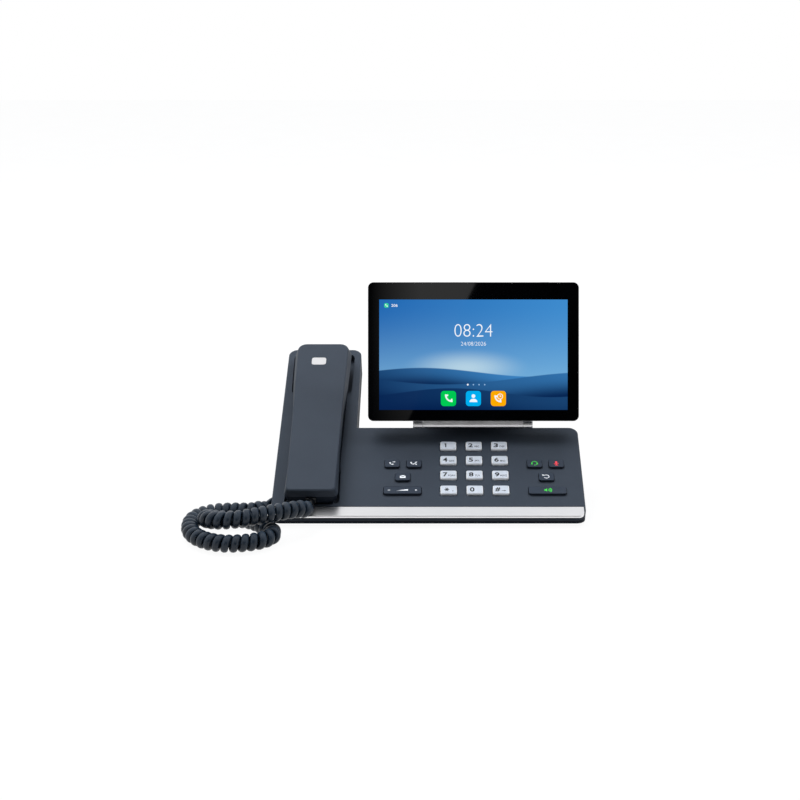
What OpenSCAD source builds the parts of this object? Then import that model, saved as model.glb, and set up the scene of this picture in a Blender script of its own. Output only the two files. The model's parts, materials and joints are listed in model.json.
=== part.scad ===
// Desk IP phone with a tilting touch screen, a handset in its cradle,
// a twelve-key dial pad, function keys and a curly handset cord.
// Millimetres. X runs across the phone, +Y to the rear, +Z up.
// The deck is built flat in "slope" coordinates: X across, Y up the slope
// from the front edge, Z out of the deck, and is then tilted into place.

/* [Body] */
// Width of the whole body
body_width = 246; // [200:1:320]
// Length of the key deck, measured up its slope
deck_length = 101.6; // [95:0.2:130]
// Length of the handset arm, measured up the slope
arm_length = 202; // [195:1:260]
// Width of the handset arm
arm_width = 63.4; // [58:0.2:80]
// Slope of the deck in degrees
slope = 24; // [16:1:30]
// Thickness of the shell at the front edge
front_thickness = 8; // [7:0.5:14]
// Thickness of the shell behind the front wedge
shell_thickness = 22; // [20:0.5:30]
// Thickness of the top half of the shell
parting = 5; // [4:0.5:8]
// Wall of the housings
wall = 2.2; // [1.6:0.1:3]
// Corner radius of the body in plan
body_corner = 7.5; // [4:0.5:12]
// Bevel round the top edge of the body
body_bevel = 0.8; // [0.4:0.1:1.5]
// Height of the rubber feet
foot_height = 1.7; // [1:0.1:3]

/* [Trim strip] */
// Width of the metal strip, up the slope
trim_width = 10.6; // [6:0.2:12]
// Thickness of the strip
trim_thickness = 1.6; // [1:0.1:2]
// Distance from the strip's ends to the sides of the body
trim_margin = 1.6; // [1:0.1:4]

/* [Dial keys] */
// Width of a dial key
key_width = 13; // [11:0.5:15]
// Height of a dial key, up the slope
key_height = 9.8; // [8:0.2:12]
// Distance between key columns
key_pitch_x = 20.7; // [17:0.1:22]
// Distance between key rows
key_pitch_y = 16.8; // [13:0.1:18]
// Middle of the dial pad across the phone
pad_x = 36.7; // [30:0.1:42]
// Middle of the bottom row up the slope
pad_y = 27.6; // [24:0.1:32]
// Height of a key top over the deck
key_rise = 1.8; // [1.5:0.1:2.5]
// Travel of a key
key_travel = 1.2; // [0.8:0.1:1.3]
// Gap between a key and the edge of its hole
key_gap = 0.35; // [0.25:0.05:0.5]

/* [Function keys] */
// Width of a small function key
soft_width = 11.8; // [10:0.2:13]
// Height of a small function key, up the slope
soft_height = 9.6; // [8:0.2:11]
// Width of the volume rocker and of the loudspeaker key
long_width = 29.6; // [26:0.2:32]
// Height of the volume rocker and of the loudspeaker key
long_height = 9; // [8:0.2:10]
// Middle of the left group of keys
left_group_x = -20.5; // [-24:0.1:-18]
// Middle of the right group of keys
right_group_x = 94.1; // [92:0.1:97]
// Distance between two keys side by side
soft_pitch = 17.5; // [15:0.1:19]
// Furthest turn of the volume rocker in degrees
rocker_turn = 3; // [1:0.5:4]

/* [Screen] */
// Width of the screen unit
screen_width = 172; // [160:1:200]
// Height of the screen unit
screen_height = 113.2; // [100:0.2:140]
// Depth of the screen frame
frame_depth = 9; // [8:0.5:12]
// Depth of the tapered rear cover
cover_depth = 5; // [3:0.5:8]
// Corner radius of the screen
screen_corner = 4.5; // [2:0.5:8]
// Lean of the screen from upright in degrees
screen_lean = 18; // [10:1:30]
// Middle of the screen across the phone
screen_x = 36.5; // [30:0.5:40]
// Thickness of the cover glass
glass_thickness = 1.5; // [1:0.1:2]
// Width of the frame's rim round the glass
glass_rim = 0.6; // [0.5:0.1:1]
// Width of the dark band at each side of the lit area
display_side = 9.2; // [6:0.1:16]
// Width of the dark band over the lit area
display_over = 14.1; // [8:0.1:20]
// Width of the dark band under the lit area
display_under = 9.1; // [8:0.1:20]

/* [Screen hinge] */
// Width of the hinge arm
neck_width = 82.6; // [60:0.2:100]
// Radius of the hinge barrel
barrel_radius = 5.5; // [4.5:0.1:7]
// Radius of the hinge pin
pin_radius = 2.5; // [1.5:0.1:3]
// Radial running clearance of the barrel on its pin
pin_clearance = 0.05; // [0.02:0.01:0.1]
// Gap between the barrel and the rear wall
barrel_gap = 0.4; // [0.3:0.1:1]
// Depth of the hinge axis under the deck plane
barrel_drop = 2.5; // [2:0.1:4]
// Distance of the glass in front of the hinge axis
screen_ahead = 24.9; // [22:0.1:30]
// Height of the screen's lower edge over the hinge axis
screen_rise = 3.2; // [2:0.1:8]
// Thickness of the hinge arm's plate
neck_plate = 3; // [2:0.5:5]
// Length of the hinge arm
neck_length = 48; // [40:1:60]

/* [Handset] */
// Middle of the handset across the phone
handset_x = -91.5; // [-92:0.1:-90]
// Lower end of the handset up the slope
handset_start = 12.4; // [12:0.2:16]
// Length of the handset
handset_length = 179; // [175:1:180]
// Width of its flat front at the mouth end
face_mouth = 38; // [34:0.5:40]
// Width of its flat front at the ear end
face_ear = 43; // [40:0.5:45]
// Height of its flat front over the deck
handset_rise = 16; // [14:0.5:20]
// Height of the joint between its two shells
handset_joint = 9; // [8:0.5:11]
// Gap between the grip and the cradle
grip_gap = 1.2; // [0.8:0.1:2]
// Depth of the ear and mouth ends in the cradle
bump_depth = 5.5; // [4:0.5:6]
// Gap between these ends and the floor of the cradle
well_gap = 1; // [0.5:0.1:2]
// Wall of the handset shells
handset_wall = 2.2; // [1.6:0.1:3]
// Height of the plug's axis over the deck
plug_rise = 5.6; // [5:0.1:6]

/* [Hook switch] */
// Width of the hook lever
hook_width = 8; // [6:0.5:12]
// Length of the hook lever
hook_length = 20; // [16:0.5:24]
// Place of its pivot up the slope
hook_y = 112; // [110:1:114]

/* [Foot stand] */
// Width of the foot stand
stand_width = 196; // [150:1:220]
// Thickness of its plates
stand_plate = 3; // [2.5:0.1:4]
// Distance from the front edge of the phone to the stand's foot
stand_reach = 158; // [145:1:170]

/* [Sockets] */
// Width of a network socket
lan_width = 16; // [15:0.5:18]
// Height of a network socket
lan_height = 10.6; // [10:0.1:11]
// Depth of the sockets
socket_depth = 13; // [11:0.5:13]
// Radius of the power socket's hole
power_radius = 2.75; // [2.5:0.05:3.2]

/* [Cord] */
// Outer radius of the curly cord
coil_radius = 6.9; // [6:0.1:6.9]
// Radius of its straight wire
wire_radius = 2.3; // [1.8:0.1:2.5]

/* [Hidden] */
$fn = 32;
far = 400;
slate = [0.27, 0.30, 0.35];
slate_dark = [0.16, 0.18, 0.22];
silver = [0.88, 0.88, 0.89];
key_grey = [0.77, 0.80, 0.84];
near_black = [0.02, 0.03, 0.04];
rubber = [0.06, 0.06, 0.07];
board_green = [0.05, 0.32, 0.20];
steel = [0.62, 0.63, 0.65];
cord_black = [0.12, 0.14, 0.17];

// the frame: front top edge of the deck, in table coordinates
front_z = foot_height + front_thickness * cos(slope);
half_depth = (arm_length * cos(slope) + shell_thickness * sin(slope)) / 2;
left = -body_width / 2;
right = body_width / 2;
arm_right = left + arm_width;
// where the wedge under the front edge ends, up the slope
wedge_end = (shell_thickness - front_thickness) / tan(slope);

// keys: [x, y, width, height]
flange = 0.9;         // rim that holds a key in
flange_gap = 0.3;
key_floor = wall + flange_gap + flange + 0.6;  // depth of the plungers
axle_drop = wall + 2; // depth of the rocker's axle
dial_keys = [for (row = [3:-1:0]) for (col = [-1:1])
    [pad_x + col * key_pitch_x, pad_y + row * key_pitch_y, key_width, key_height]];
upper_y = pad_y + 1.8 * key_pitch_y;
middle_y = pad_y + 0.9 * key_pitch_y;
soft_keys = [
    [left_group_x - soft_pitch / 2, upper_y, soft_width, soft_height],
    [left_group_x + soft_pitch / 2, upper_y, soft_width, soft_height],
    [left_group_x, middle_y, soft_width, soft_height],
    [right_group_x - soft_pitch / 2, upper_y, soft_width, soft_height],
    [right_group_x + soft_pitch / 2, upper_y, soft_width, soft_height],
    [right_group_x, middle_y, soft_width, soft_height],
    [right_group_x, pad_y, long_width, long_height]];
rocker = [left_group_x, pad_y, long_width, long_height];
board_left = rocker[0] - rocker[2] / 2 - 5;
board_right = soft_keys[6][0] + soft_keys[6][2] / 2 + 2;
board_rear = pad_y + 3 * key_pitch_y + key_height / 2 + 4;
board_front = pad_y - key_height / 2 - 4;
dome_height = 0.9;
membrane_top = key_floor + key_travel + dome_height + 0.4;
board_top = membrane_top + 1.2;
board_thickness = 1.6;
main_top = board_top + board_thickness + 3;

// screen hinge, in table coordinates
hinge_v = deck_length + barrel_gap + barrel_radius;
hinge_y = hinge_v * cos(slope) + barrel_drop * sin(slope) - half_depth;
hinge_z = front_z + hinge_v * sin(slope) - barrel_drop * cos(slope);
lug_width = 7;
lug_gap = 0.3;
frame_wall = 2.4;
light_x = 58.2;       // status light on the upper edge
light_width = 7;

// handset: the sides bulge beyond the flat front by this much along its length
flare = [[0, 2.2], [14, 1.7], [45, 0.7], [95, 0.7], [132, 2.5], [handset_length, 2.9]];
ear_start = 136;      // from the handset's lower end
mouth_end = 42;
function face_half(t) =
    (face_mouth + (face_ear - face_mouth) * t / handset_length) / 2;
well_ear = [handset_start + ear_start - 3, handset_start + handset_length + 2.4];
well_mouth = [handset_start + 1.6, handset_start + mouth_end + 3];
well_depth = bump_depth + well_gap;
ear_room = 2;         // room round the ear end in its hollow
mouth_room = 0.5;

screws = [
    [left + 6, 66], [arm_right - 6, 66], [left + 6, 139], [arm_right - 6, 139],
    [right - 6, deck_length - 8], [right - 6, 42], [arm_right + 14, deck_length - 8]];
screw_radius = 1.3;
screw_head = 2.6;
screw_gap = 0.02;

// sockets: [x, width, height] along the rear wall of the deck
socket_top = 8.4;     // depth of their upper side under the deck
socket_seat = 0.4;    // their mouths lie this far inside the rear wall
main_board_size = [body_width - 96, 40];
main_board_x = 20;
main_board_y = deck_length - socket_seat - socket_depth - main_board_size[1] / 2;
board_holes = [main_board_size[0] / 2 - 15, main_board_size[1] / 2 - 5];
lan_x = [24, 46];
headset_x = 3;
power_x = 68;
usb_x = right - 25;
usb_size = [15, 7];
// handset socket in a notch of the left side
jack_y = 31.5;
jack_size = [11, 6.8];
notch_depth = 11;
notch_roof = 1;       // wall over the notch, just under the cradle's cup
jack_w = well_depth + wall + 0.1 + notch_roof + 0.2 + jack_size[1] / 2;

// foot stand, in table coordinates
stand_top_v = deck_length - 6;
stand_front_v = wedge_end + 10;
stand_y0 = stand_top_v * cos(slope) + (shell_thickness + stand_plate) * sin(slope);
stand_z0 = front_z + stand_top_v * sin(slope) - (shell_thickness + stand_plate) * cos(slope);
stand_angle = atan2(stand_z0 - foot_height, stand_reach - stand_y0);
stand_leg = (stand_z0 - foot_height) / sin(stand_angle);
stand_ribs = [-88, -30, 30, 88];

// the curly cord's route, in millimetres from the middle of the front edge
cord_route = [
    [-91.5, 3.15, 16.5], [-91.5, 0.8, 15.5], [-93, -3, 16.2], [-98, -8.5, 18.8],
    [-106, -15.5, 20.5],
    [-118, -23, 21.3], [-129.5, -29.5, 21.4], [-141, -34, 21], [-153, -35, 20.2],
    [-163, -30.5, 18.6], [-168.5, -22, 16.2], [-168, -11.5, 12.4], [-163, -4, 8.6],
    [-153, -0.5, 6.9], [-142, -1.5, 6.9], [-132.5, -7.5, 6.9], [-124.5, -16, 6.9],
    [-118.5, -27, 6.9], [-119, -38, 6.9], [-126.5, -47, 6.9], [-138, -52.5, 6.9],
    [-151, -53.5, 6.9], [-163.5, -48.5, 6.9], [-173.5, -39.5, 6.9], [-180, -28, 6.9],
    [-182.5, -15.5, 6.9], [-182, -3, 6.9], [-176.5, 8, 6.9], [-166, 14.5, 6.9],
    [-154, 16, 6.9], [-143, 16, 6.9], [-136.5, 17.5, 6.8], [-131.5, 22, 6.8],
    [-128.5, 28, 7.8], [-125, 32.6, 9.2], [-121, 34.2, 9.6], [-118.3, 34.2, 9.6]];
boot_length = 6;
cord_steps = 2;       // rings per leg of the route
cord_sides = 12;
cord_ramp = 9;        // length over which the coils open and close

// ---------------------------------------------------------------- placing

module on_table() translate([0, -half_depth, 0]) children();

module on_slope()
    on_table() translate([0, 0, front_z]) rotate([slope, 0, 0]) children();

module on_screen()
    translate([screen_x, hinge_y, hinge_z]) rotate([-screen_lean, 0, 0]) children();

// a rounded rectangle about the origin, as a flat shape
module rounded(x, y, r) {
    square([x - 2 * r, y], center = true);
    square([x, y - 2 * r], center = true);
    for (i = [-1, 1]) for (j = [-1, 1])
        translate([i * (x / 2 - r), j * (y / 2 - r)])
            circle(r);
}

// the same, standing on z = 0
module pad(x, y, r, h) linear_extrude(h) rounded(x, y, r);

// a pad whose upper edge is bevelled by c
module bevelled(x, y, r, h, c) hull() {
    pad(x, y, r, h - c);
    pad(x - 2 * c, y - 2 * c, max(r - c, 0.3), h);
}

// a plate that stands upright like the screen: x by z, depth d from y = 0
module upright(x, z, r, d)
    translate([0, d, 0]) rotate([90, 0, 0]) pad(x, z, r, d);

// ---------------------------------------------------------------- body shell

// deck and arm in plan, drawn in from the outline
module body_plan(inset) {
    r = body_corner - inset;
    translate([0, deck_length / 2])
        rounded(body_width - 2 * inset, deck_length - 2 * inset, r);
    translate([left + arm_width / 2, arm_length / 2])
        rounded(arm_width - 2 * inset, arm_length - 2 * inset, r);
    // the rear left corner of the deck lies under the arm
    translate([left + inset, deck_length - 2 * body_corner])
        square([arm_width - 2 * inset, 2 * body_corner]);
}

// what lies over the level underside, raised by lift
module underside_cut(lift)
    intersection() {
        children();
        rotate([-slope, 0, 0]) translate([0, 0, -front_z])
            translate([-far / 2, -far / 2, foot_height + lift])
                cube(far);
    }

module key_hole(k, gap)
    translate([k[0], k[1], -far / 2])
        pad(k[2] + 2 * gap, k[3] + 2 * gap, 1.6 + gap, far);

// a closed outline of part of the handset, with rounded ends
function handset_outline(t0, t1, grow, inset, r0, r1, n = 12, m = 5) =
    let (
        half = function (t) face_half(t) + grow * lookup(t, flare) - inset,
        a = t0 + inset,
        b = t1 - inset)
    concat(
        [for (i = [0:n]) let (t = a + r0 + (b - a - r0 - r1) * i / n) [half(t), t]],
        [for (i = [1:m]) let (q = 90 * i / m)
            [half(b - r1) - r1 + r1 * cos(q), b - r1 + r1 * sin(q)]],
        [for (i = [m:-1:1]) let (q = 90 * i / m)
            [-half(b - r1) + r1 - r1 * cos(q), b - r1 + r1 * sin(q)]],
        [for (i = [n:-1:0]) let (t = a + r0 + (b - a - r0 - r1) * i / n) [-half(t), t]],
        [for (i = [1:m]) let (q = 90 * i / m)
            [-half(a + r0) + r0 - r0 * cos(q), a + r0 - r0 * sin(q)]],
        [for (i = [m:-1:1]) let (q = 90 * i / m)
            [half(a + r0) - r0 + r0 * cos(q), a + r0 - r0 * sin(q)]]);

// a solid through outlines of equal length, each at its own height
module loft(outlines, heights) {
    n = len(outlines[0]);
    rows = len(heights);
    points = [for (k = [0:rows - 1]) for (p = outlines[k]) [p[0], p[1], heights[k]]];
    polyhedron(points, concat(
        [[for (i = [0:n - 1]) i]],
        [[for (i = [n - 1:-1:0]) (rows - 1) * n + i]],
        [for (k = [0:rows - 2]) for (i = [0:n - 1])
            let (j = (i + 1) % n)
            [k * n + j, k * n + i, (k + 1) * n + i, (k + 1) * n + j]]));
}

module on_handset() on_slope() translate([handset_x, handset_start, 0]) children();

// hollow in the cradle for one end of the handset
module well(range, grow, depth) {
    t0 = range[0] - handset_start;
    t1 = range[1] - handset_start;
    o = handset_outline(t0, t1, 1, -grow, 4, 6, 6, 4);
    translate([handset_x, handset_start, 0])
        loft([o, o], [-depth, 1]);
}

module top_housing() color(slate) on_slope() difference() {
    union() {
        difference() {
            underside_cut(0) union() {
                translate([0, deck_length / 2, -parting])
                    bevelled(body_width, deck_length, body_corner, parting, body_bevel);
                translate([left + arm_width / 2, arm_length / 2, -parting])
                    bevelled(arm_width, arm_length, body_corner, parting, body_bevel);
            }
            translate([0, 0, -far - wall]) linear_extrude(far) body_plan(wall);
        }
        // cups that carry the two ends of the handset
        intersection() {
            union() {
                well(well_ear, ear_room + wall + 0.4, well_depth + wall);
                well(well_mouth, mouth_room + wall + 0.4, well_depth + wall);
            }
            translate([0, 0, -far - wall / 2]) linear_extrude(far) body_plan(wall / 2);
        }
        // screw bosses
        for (s = screws) translate([s[0], s[1], wall - shell_thickness + 0.02])
            cylinder(r = 3.2, h = shell_thickness - 2 * wall + 0.5);
        // ring that holds the loudspeaker
        translate([handset_x, deck_length - 18, -wall - 6])
            difference() {
                cylinder(r = 21.6, h = 6.5);
                translate([0, 0, -1]) cylinder(r = 20.2, h = 9);
            }
        // cheeks of the volume rocker's axle
        for (i = [-1, 1])
            translate([rocker[0] - 2.5, rocker[1] + i * (rocker[3] / 2 + 1.4) - 0.8, -axle_drop - 2])
                cube([5, 1.6, axle_drop + 1]);
        // cheeks of the hook lever's pivot
        for (i = [-1, 1])
            translate([handset_x + i * (hook_width / 2 + 1.8) - 1.2, hook_y - 4, -wall - 6])
                cube([2.4, 8, 6.5]);
    }
    // seat of the trim strip
    translate([0, 0, -trim_thickness]) linear_extrude(far) trim_plan(0.1);
    for (k = dial_keys) key_hole(k, key_gap);
    for (k = soft_keys) key_hole(k, key_gap);
    key_hole(rocker, key_gap + 0.15);
    well(well_ear, ear_room, well_depth);
    well(well_mouth, mouth_room, well_depth);
    for (s = screws) translate([s[0], s[1], -far + 2 - wall - 4])
        cylinder(r = screw_radius + screw_gap, h = far);
    translate([handset_x, deck_length - 18, -wall - 2]) grille(4.2, 20);
    // slot and bore of the hook lever
    translate([handset_x - hook_width / 2 - 0.5, hook_y - 4, -far / 2])
        cube([hook_width + 1, hook_length + 10.5, far]);
    translate([handset_x - hook_width, hook_y, -wall - 3])
        rotate([0, 90, 0]) cylinder(r = 1.25, h = 2 * hook_width);
    translate([rocker[0], rocker[1], -axle_drop]) rotate([90, 0, 0])
        cylinder(r = 1.25, h = rocker[3] + 8, center = true);
}

// round holes in offset columns that fill a circle
module grille(pitch, radius) {
    step = 0.93 * pitch;
    for (i = [-5:5]) for (j = [-5:5]) {
        x = i * step;
        y = (j + (i % 2 == 0 ? 0 : 0.5)) * pitch;
        if (norm([x, y]) < radius) translate([x, y, 0])
            cylinder(r = 0.85, h = wall + 4, $fn = 14);
    }
}

module bottom_housing() color(slate_dark) on_slope() difference() {
    union() {
        difference() {
            underside_cut(0)
                translate([0, 0, -shell_thickness])
                    linear_extrude(shell_thickness - parting) body_plan(0);
            underside_cut(wall)
                translate([0, 0, wall - shell_thickness])
                    linear_extrude(far) body_plan(wall);
        }
        // walls of the notch for the handset plug
        notch_box(1.6);
        // pillars that carry the main board
        for (i = [-1, 0, 1]) for (j = [-1, 1])
            translate([main_board_x + i * board_holes[0], main_board_y + j * board_holes[1],
                       wall - shell_thickness - 0.2])
                cylinder(r = 2.4, h = shell_thickness - wall + 0.2 - main_top - board_thickness);
    }
    notch_box(0);
    handset_socket_block(0.2);
    for (s = screws) translate([s[0], s[1], -far / 2]) {
        cylinder(r = screw_radius + 0.3, h = far);
        translate([0, 0, far / 2 - shell_thickness - 5])
            cylinder(r = screw_head + 0.3, h = 6.2);
    }
    // sockets in the rear wall
    for (x = lan_x) socket_hole(x, lan_width, lan_height, 0.15);
    socket_hole(headset_x, 11, 8, 0.15);
    socket_hole(usb_x, usb_size[0], usb_size[1], 0.15);
    socket_hole(power_x, 9.4, lan_height, 0.15);
    // stand screws
    for (x = stand_ribs) for (v = stand_screw_v) translate([x + 8, v, -shell_thickness - 1])
        cylinder(r = screw_radius + screw_gap, h = 1 + wall + 0.5);
}

// lugs of the screen hinge, on the rear wall
module hinge_lugs() color(slate_dark) on_slope() difference() {
    for (side = [-1, 1])
        translate([screen_x + side * (neck_width / 2 + lug_gap + lug_width / 2) - lug_width / 2,
                   deck_length, 0]) {
            translate([0, barrel_gap + barrel_radius, -barrel_drop]) rotate([0, 90, 0])
                cylinder(r = barrel_radius, h = lug_width);
            translate([0, 0, -socket_top - 6])
                cube([lug_width, barrel_gap + barrel_radius, socket_top + 6 - parting - 0.2]);
            translate([0, 0.5, -socket_top - 6])
                cube([lug_width, barrel_gap + 2 * barrel_radius - 1.5,
                      socket_top + 6 - barrel_drop]);
        }
    translate([screen_x, hinge_v, -barrel_drop]) rotate([0, 90, 0])
        cylinder(r = pin_radius + screw_gap, h = far, center = true);
}

// the recess in the left side that takes the handset plug, grown by g
module notch_box(g)
    underside_cut(g > 0 ? 0 : 0.5)
        translate([left - (g > 0 ? 0 : 1), jack_y - jack_size[0] / 2 - 1.5 - g,
                   -jack_w - jack_size[1] / 2 - 0.6 - g])
            cube([notch_depth + g + (g > 0 ? 0 : 1), jack_size[0] + 3 + 2 * g,
                  jack_size[1] + 0.8 + g + (g > 0 ? notch_roof : 0)]);

module handset_socket_block(g)
    translate([left + notch_depth - 0.01 - (g > 0 ? 2 : 0), jack_y - jack_size[0] / 2 - g,
               -jack_w - jack_size[1] / 2 - g])
        cube([14 + (g > 0 ? 2 : 0), jack_size[0] + 2 * g, jack_size[1] + 2 * g]);

module socket_hole(x, w, h, gap)
    translate([x - w / 2 - gap, deck_length - wall - 1, -socket_top - h - gap])
        cube([w + 2 * gap, wall + 2, h + 2 * gap]);

// ---------------------------------------------------------------- base parts

// the strip's plan: square at the rear, rounded at the front, grown by g
module trim_plan(g) {
    w = body_width - 2 * trim_margin + 2 * g;
    r = 4;
    translate([-w / 2, r]) square([w, trim_width - r + g]);
    translate([-w / 2 + r, -g - (g > 0 ? 1 : 0)])
        square([w - 2 * r, trim_width / 2 + g + (g > 0 ? 1 : 0)]);
    for (i = [-1, 1]) translate([i * (w / 2 - r), r - g])
        circle(r);
}

module trim_strip() color(silver) on_slope() intersection() {
    translate([0, 0, -trim_thickness]) linear_extrude(far) trim_plan(0);
    // bevelled along both long edges
    rotate([90, 0, 90]) translate([0, 0, -far / 2]) linear_extrude(far)
        polygon([[0, -trim_thickness], [trim_width, -trim_thickness],
                 [trim_width, -0.3], [trim_width - 0.5, 0.15],
                 [0.5, 0.15], [0, -0.3]]);
}

stand_screw_v = [stand_front_v + 7, stand_top_v - 12];

module foot_stand() color(slate_dark) difference() {
    union() {
        // flange under the shell
        on_slope() translate([0, (stand_front_v + stand_top_v) / 2, -shell_thickness - stand_plate])
            pad(stand_width, stand_top_v - stand_front_v, 5, stand_plate);
        // leg down to the table, with a turned foot
        on_table() translate([0, stand_y0, stand_z0]) rotate([-stand_angle, 0, 0])
            translate([-stand_width / 2, -3, 0])
                cube([stand_width, stand_leg + 3, stand_plate]);
        // shoe that stands level
        on_table() translate([0, stand_reach - 1, foot_height])
            pad(stand_width, 12, 4, 4);
        // ribs between the flange and the leg
        for (x = stand_ribs) on_table() translate([x - 1.5, 0, 0])
            rotate([90, 0, 90]) linear_extrude(3) stand_rib();
    }
    // windows for the cables
    on_table() translate([0, stand_y0, stand_z0]) rotate([-stand_angle, 0, 0])
        for (x = [-59, 0, 59]) translate([x, stand_leg * 0.5, -5])
            pad(34, 16, 5, 20);
    // level underside of the foot, and the shell's own underside
    translate([-far / 2, -far / 2, foot_height - far]) cube(far);
    on_slope() translate([-far / 2, -far / 2, -shell_thickness]) cube(far);
    for (x = stand_ribs) for (v = stand_screw_v) on_slope()
        translate([x + 8, v, -far / 2]) cylinder(r = screw_radius + 0.2, h = far);
}

// side view of a rib: from the flange's rear end down the leg
module stand_rib() {
    reach = 0.62 * (stand_reach - stand_y0);
    dy = stand_plate * sin(slope);
    top = [(stand_top_v - 16) * cos(slope) + (shell_thickness + stand_plate) * sin(slope),
           front_z + (stand_top_v - 16) * sin(slope)
               - (shell_thickness + stand_plate) * cos(slope)];
    polygon([top, [stand_y0 + dy, stand_z0 + 1],
             [stand_y0 + reach, stand_z0 - reach * tan(stand_angle) + 1],
             [stand_y0 + reach, stand_z0 - reach * tan(stand_angle)],
             [stand_y0 + 0.45 * reach, stand_z0 - reach * tan(stand_angle) - 1]]);
}

module stand_pads() color(rubber) on_table()
    for (x = [-1, 1]) translate([x * (stand_width / 2 - 22), stand_reach - 1, 0])
        pad(30, 8, 3, foot_height);

module front_feet() color(rubber) on_table()
    for (x = [-1, 0, 1]) translate([x * (body_width / 2 - 18), 16, 0])
        cylinder(r = 6, h = foot_height);

module screw_at(shank) {
    cylinder(r = screw_radius, h = shank);
    translate([0, 0, -1]) difference() {
        cylinder(r = screw_head, h = 1.001);
        for (a = [0, 90]) rotate([0, 0, a]) translate([-1.5, -0.3, -0.1])
            cube([3, 0.6, 0.6]);
    }
}

module housing_screws() color(steel) on_slope()
    for (s = screws) translate([s[0], s[1], 1.2 - shell_thickness])
        screw_at(10);

module stand_screws() color(steel) on_slope()
    for (x = stand_ribs) for (v = stand_screw_v)
        translate([x + 8, v, -shell_thickness - stand_plate])
            screw_at(stand_plate + wall - 0.3);

module keypad_membrane() color(rubber) on_slope() {
    translate([(board_left + board_right) / 2, (board_front + board_rear) / 2, -board_top])
        pad(board_right - board_left, board_rear - board_front, 2, board_top - membrane_top);
    for (k = concat(dial_keys, soft_keys)) translate([k[0], k[1], -membrane_top - 0.01])
        cylinder(r1 = 3.4, r2 = 2.4, h = dome_height);
    for (i = [-1, 1]) translate([rocker[0] + i * rocker[2] / 3, rocker[1], -membrane_top - 0.01])
        cylinder(r1 = 3.4, r2 = 2.4, h = dome_height);
}

module key_board() color(board_green) on_slope()
    translate([(board_left + board_right) / 2, (board_front + board_rear) / 2,
               -board_top - board_thickness])
        pad(board_right - board_left - 1, board_rear - board_front - 1, 2, board_thickness);

module main_board() color(board_green) on_slope()
    translate([main_board_x, main_board_y, -main_top - board_thickness]) difference() {
        union() {
            pad(main_board_size[0], main_board_size[1], 2, board_thickness);
            // parts on the board
            for (x = [-52, -16, 18]) translate([x, -6, board_thickness - 0.01])
                pad(14, 14, 0.5, 1.6);
            for (x = [-36, 0, 34, 52]) translate([x, 10, board_thickness - 0.01])
                cylinder(r = 2.6, h = 2.4);
        }
        for (i = [-1, 0, 1]) for (j = [-1, 1])
            translate([i * board_holes[0], j * board_holes[1], -1]) cylinder(r = 1.4, h = 4);
    }

module loudspeaker() color(near_black) on_slope()
    translate([handset_x, deck_length - 18, -wall - 0.1]) {
        translate([0, 0, -3]) cylinder(r = 20, h = 3);
        translate([0, 0, -9]) cylinder(r = 11, h = 6.01);
    }

// lever in the cradle that the handset holds down
module hook_switch() color(slate) on_slope()
    translate([handset_x, hook_y, -wall - 3]) {
        difference() {
            union() {
                rotate([0, 90, 0]) cylinder(r = 2.6, h = hook_width, center = true);
                translate([-hook_width / 2, 0, -2.6]) cube([hook_width, hook_length, 2.6]);
                translate([0, hook_length, 0]) rotate([0, 90, 0])
                    cylinder(r = wall + 3 + 0.6, h = hook_width, center = true);
            }
            rotate([0, 90, 0]) cylinder(r = 1.25, h = 3 * hook_width, center = true);
            translate([-far / 2, hook_length / 2, -far - 2.6]) cube(far);
        }
    }

module hook_pin() color(steel) on_slope()
    translate([handset_x, hook_y, -wall - 3]) rotate([0, 90, 0])
        cylinder(r = 1.2, h = hook_width + 5, center = true);

// ---------------------------------------------------------------- keys

module key_foot(k) {
    translate([k[0], k[1], -wall - flange_gap - flange])
        pad(k[2] + 1.8, k[3] + 1.8, 1.8, flange);
    translate([k[0], k[1], -key_floor])
        cylinder(r = 2, h = key_floor - wall);
}

module dial_key(i) color(key_grey) on_slope() {
    k = dial_keys[i];
    key_foot(k);
    translate([k[0], k[1], -wall - flange_gap - 0.01])
        bevelled(k[2], k[3], 1.6, wall + flange_gap + key_rise, 0.7);
}

// a key whose top rises from the deck to its front edge
module wedge_cap(w, h, rise)
    intersection() {
        translate([0, 0, -wall - flange_gap - 0.01])
            pad(w, h, 1.6, wall + flange_gap + rise);
        translate([-far / 2, -h / 2, rise]) rotate([-atan(0.8 * rise / h), 0, 0])
            translate([0, -1, -far]) cube([far, far, far]);
    }

module soft_key(i) color(slate) on_slope() {
    k = soft_keys[i];
    key_foot(k);
    translate([k[0], k[1], 0]) wedge_cap(k[2], k[3], key_rise);
}

module volume_rocker() color(slate) on_slope() translate([rocker[0], rocker[1], 0]) {
    wedge_cap(rocker[2], rocker[3], key_rise);
    translate([0, 0, -wall - flange_gap - 0.8 - flange])
        pad(rocker[2] + 1.6, rocker[3] - 1, 1.8, flange);
    translate([-rocker[2] / 2 + 2, -rocker[3] / 2 + 0.5, -wall - flange_gap - 0.9])
        cube([rocker[2] - 4, rocker[3] - 1, 1]);
    // its axle
    translate([0, 0, -axle_drop]) rotate([90, 0, 0])
        cylinder(r = 1.2, h = rocker[3] + 3.4, center = true);
}

// ---------------------------------------------------------------- sockets

// a modular socket: a block with a stepped hole, on its back at y = 0
module modular_socket(w, h, hole_w, hole_h) difference() {
    translate([-w / 2, -socket_depth, -h]) cube([w, socket_depth, h]);
    translate([-hole_w / 2, -socket_depth + 3, -h + (h - hole_h) / 2])
        cube([hole_w, socket_depth, hole_h]);
    translate([-hole_w / 4, -socket_depth + 3, -h + 0.6])
        cube([hole_w / 2, socket_depth, 2]);
}

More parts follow.
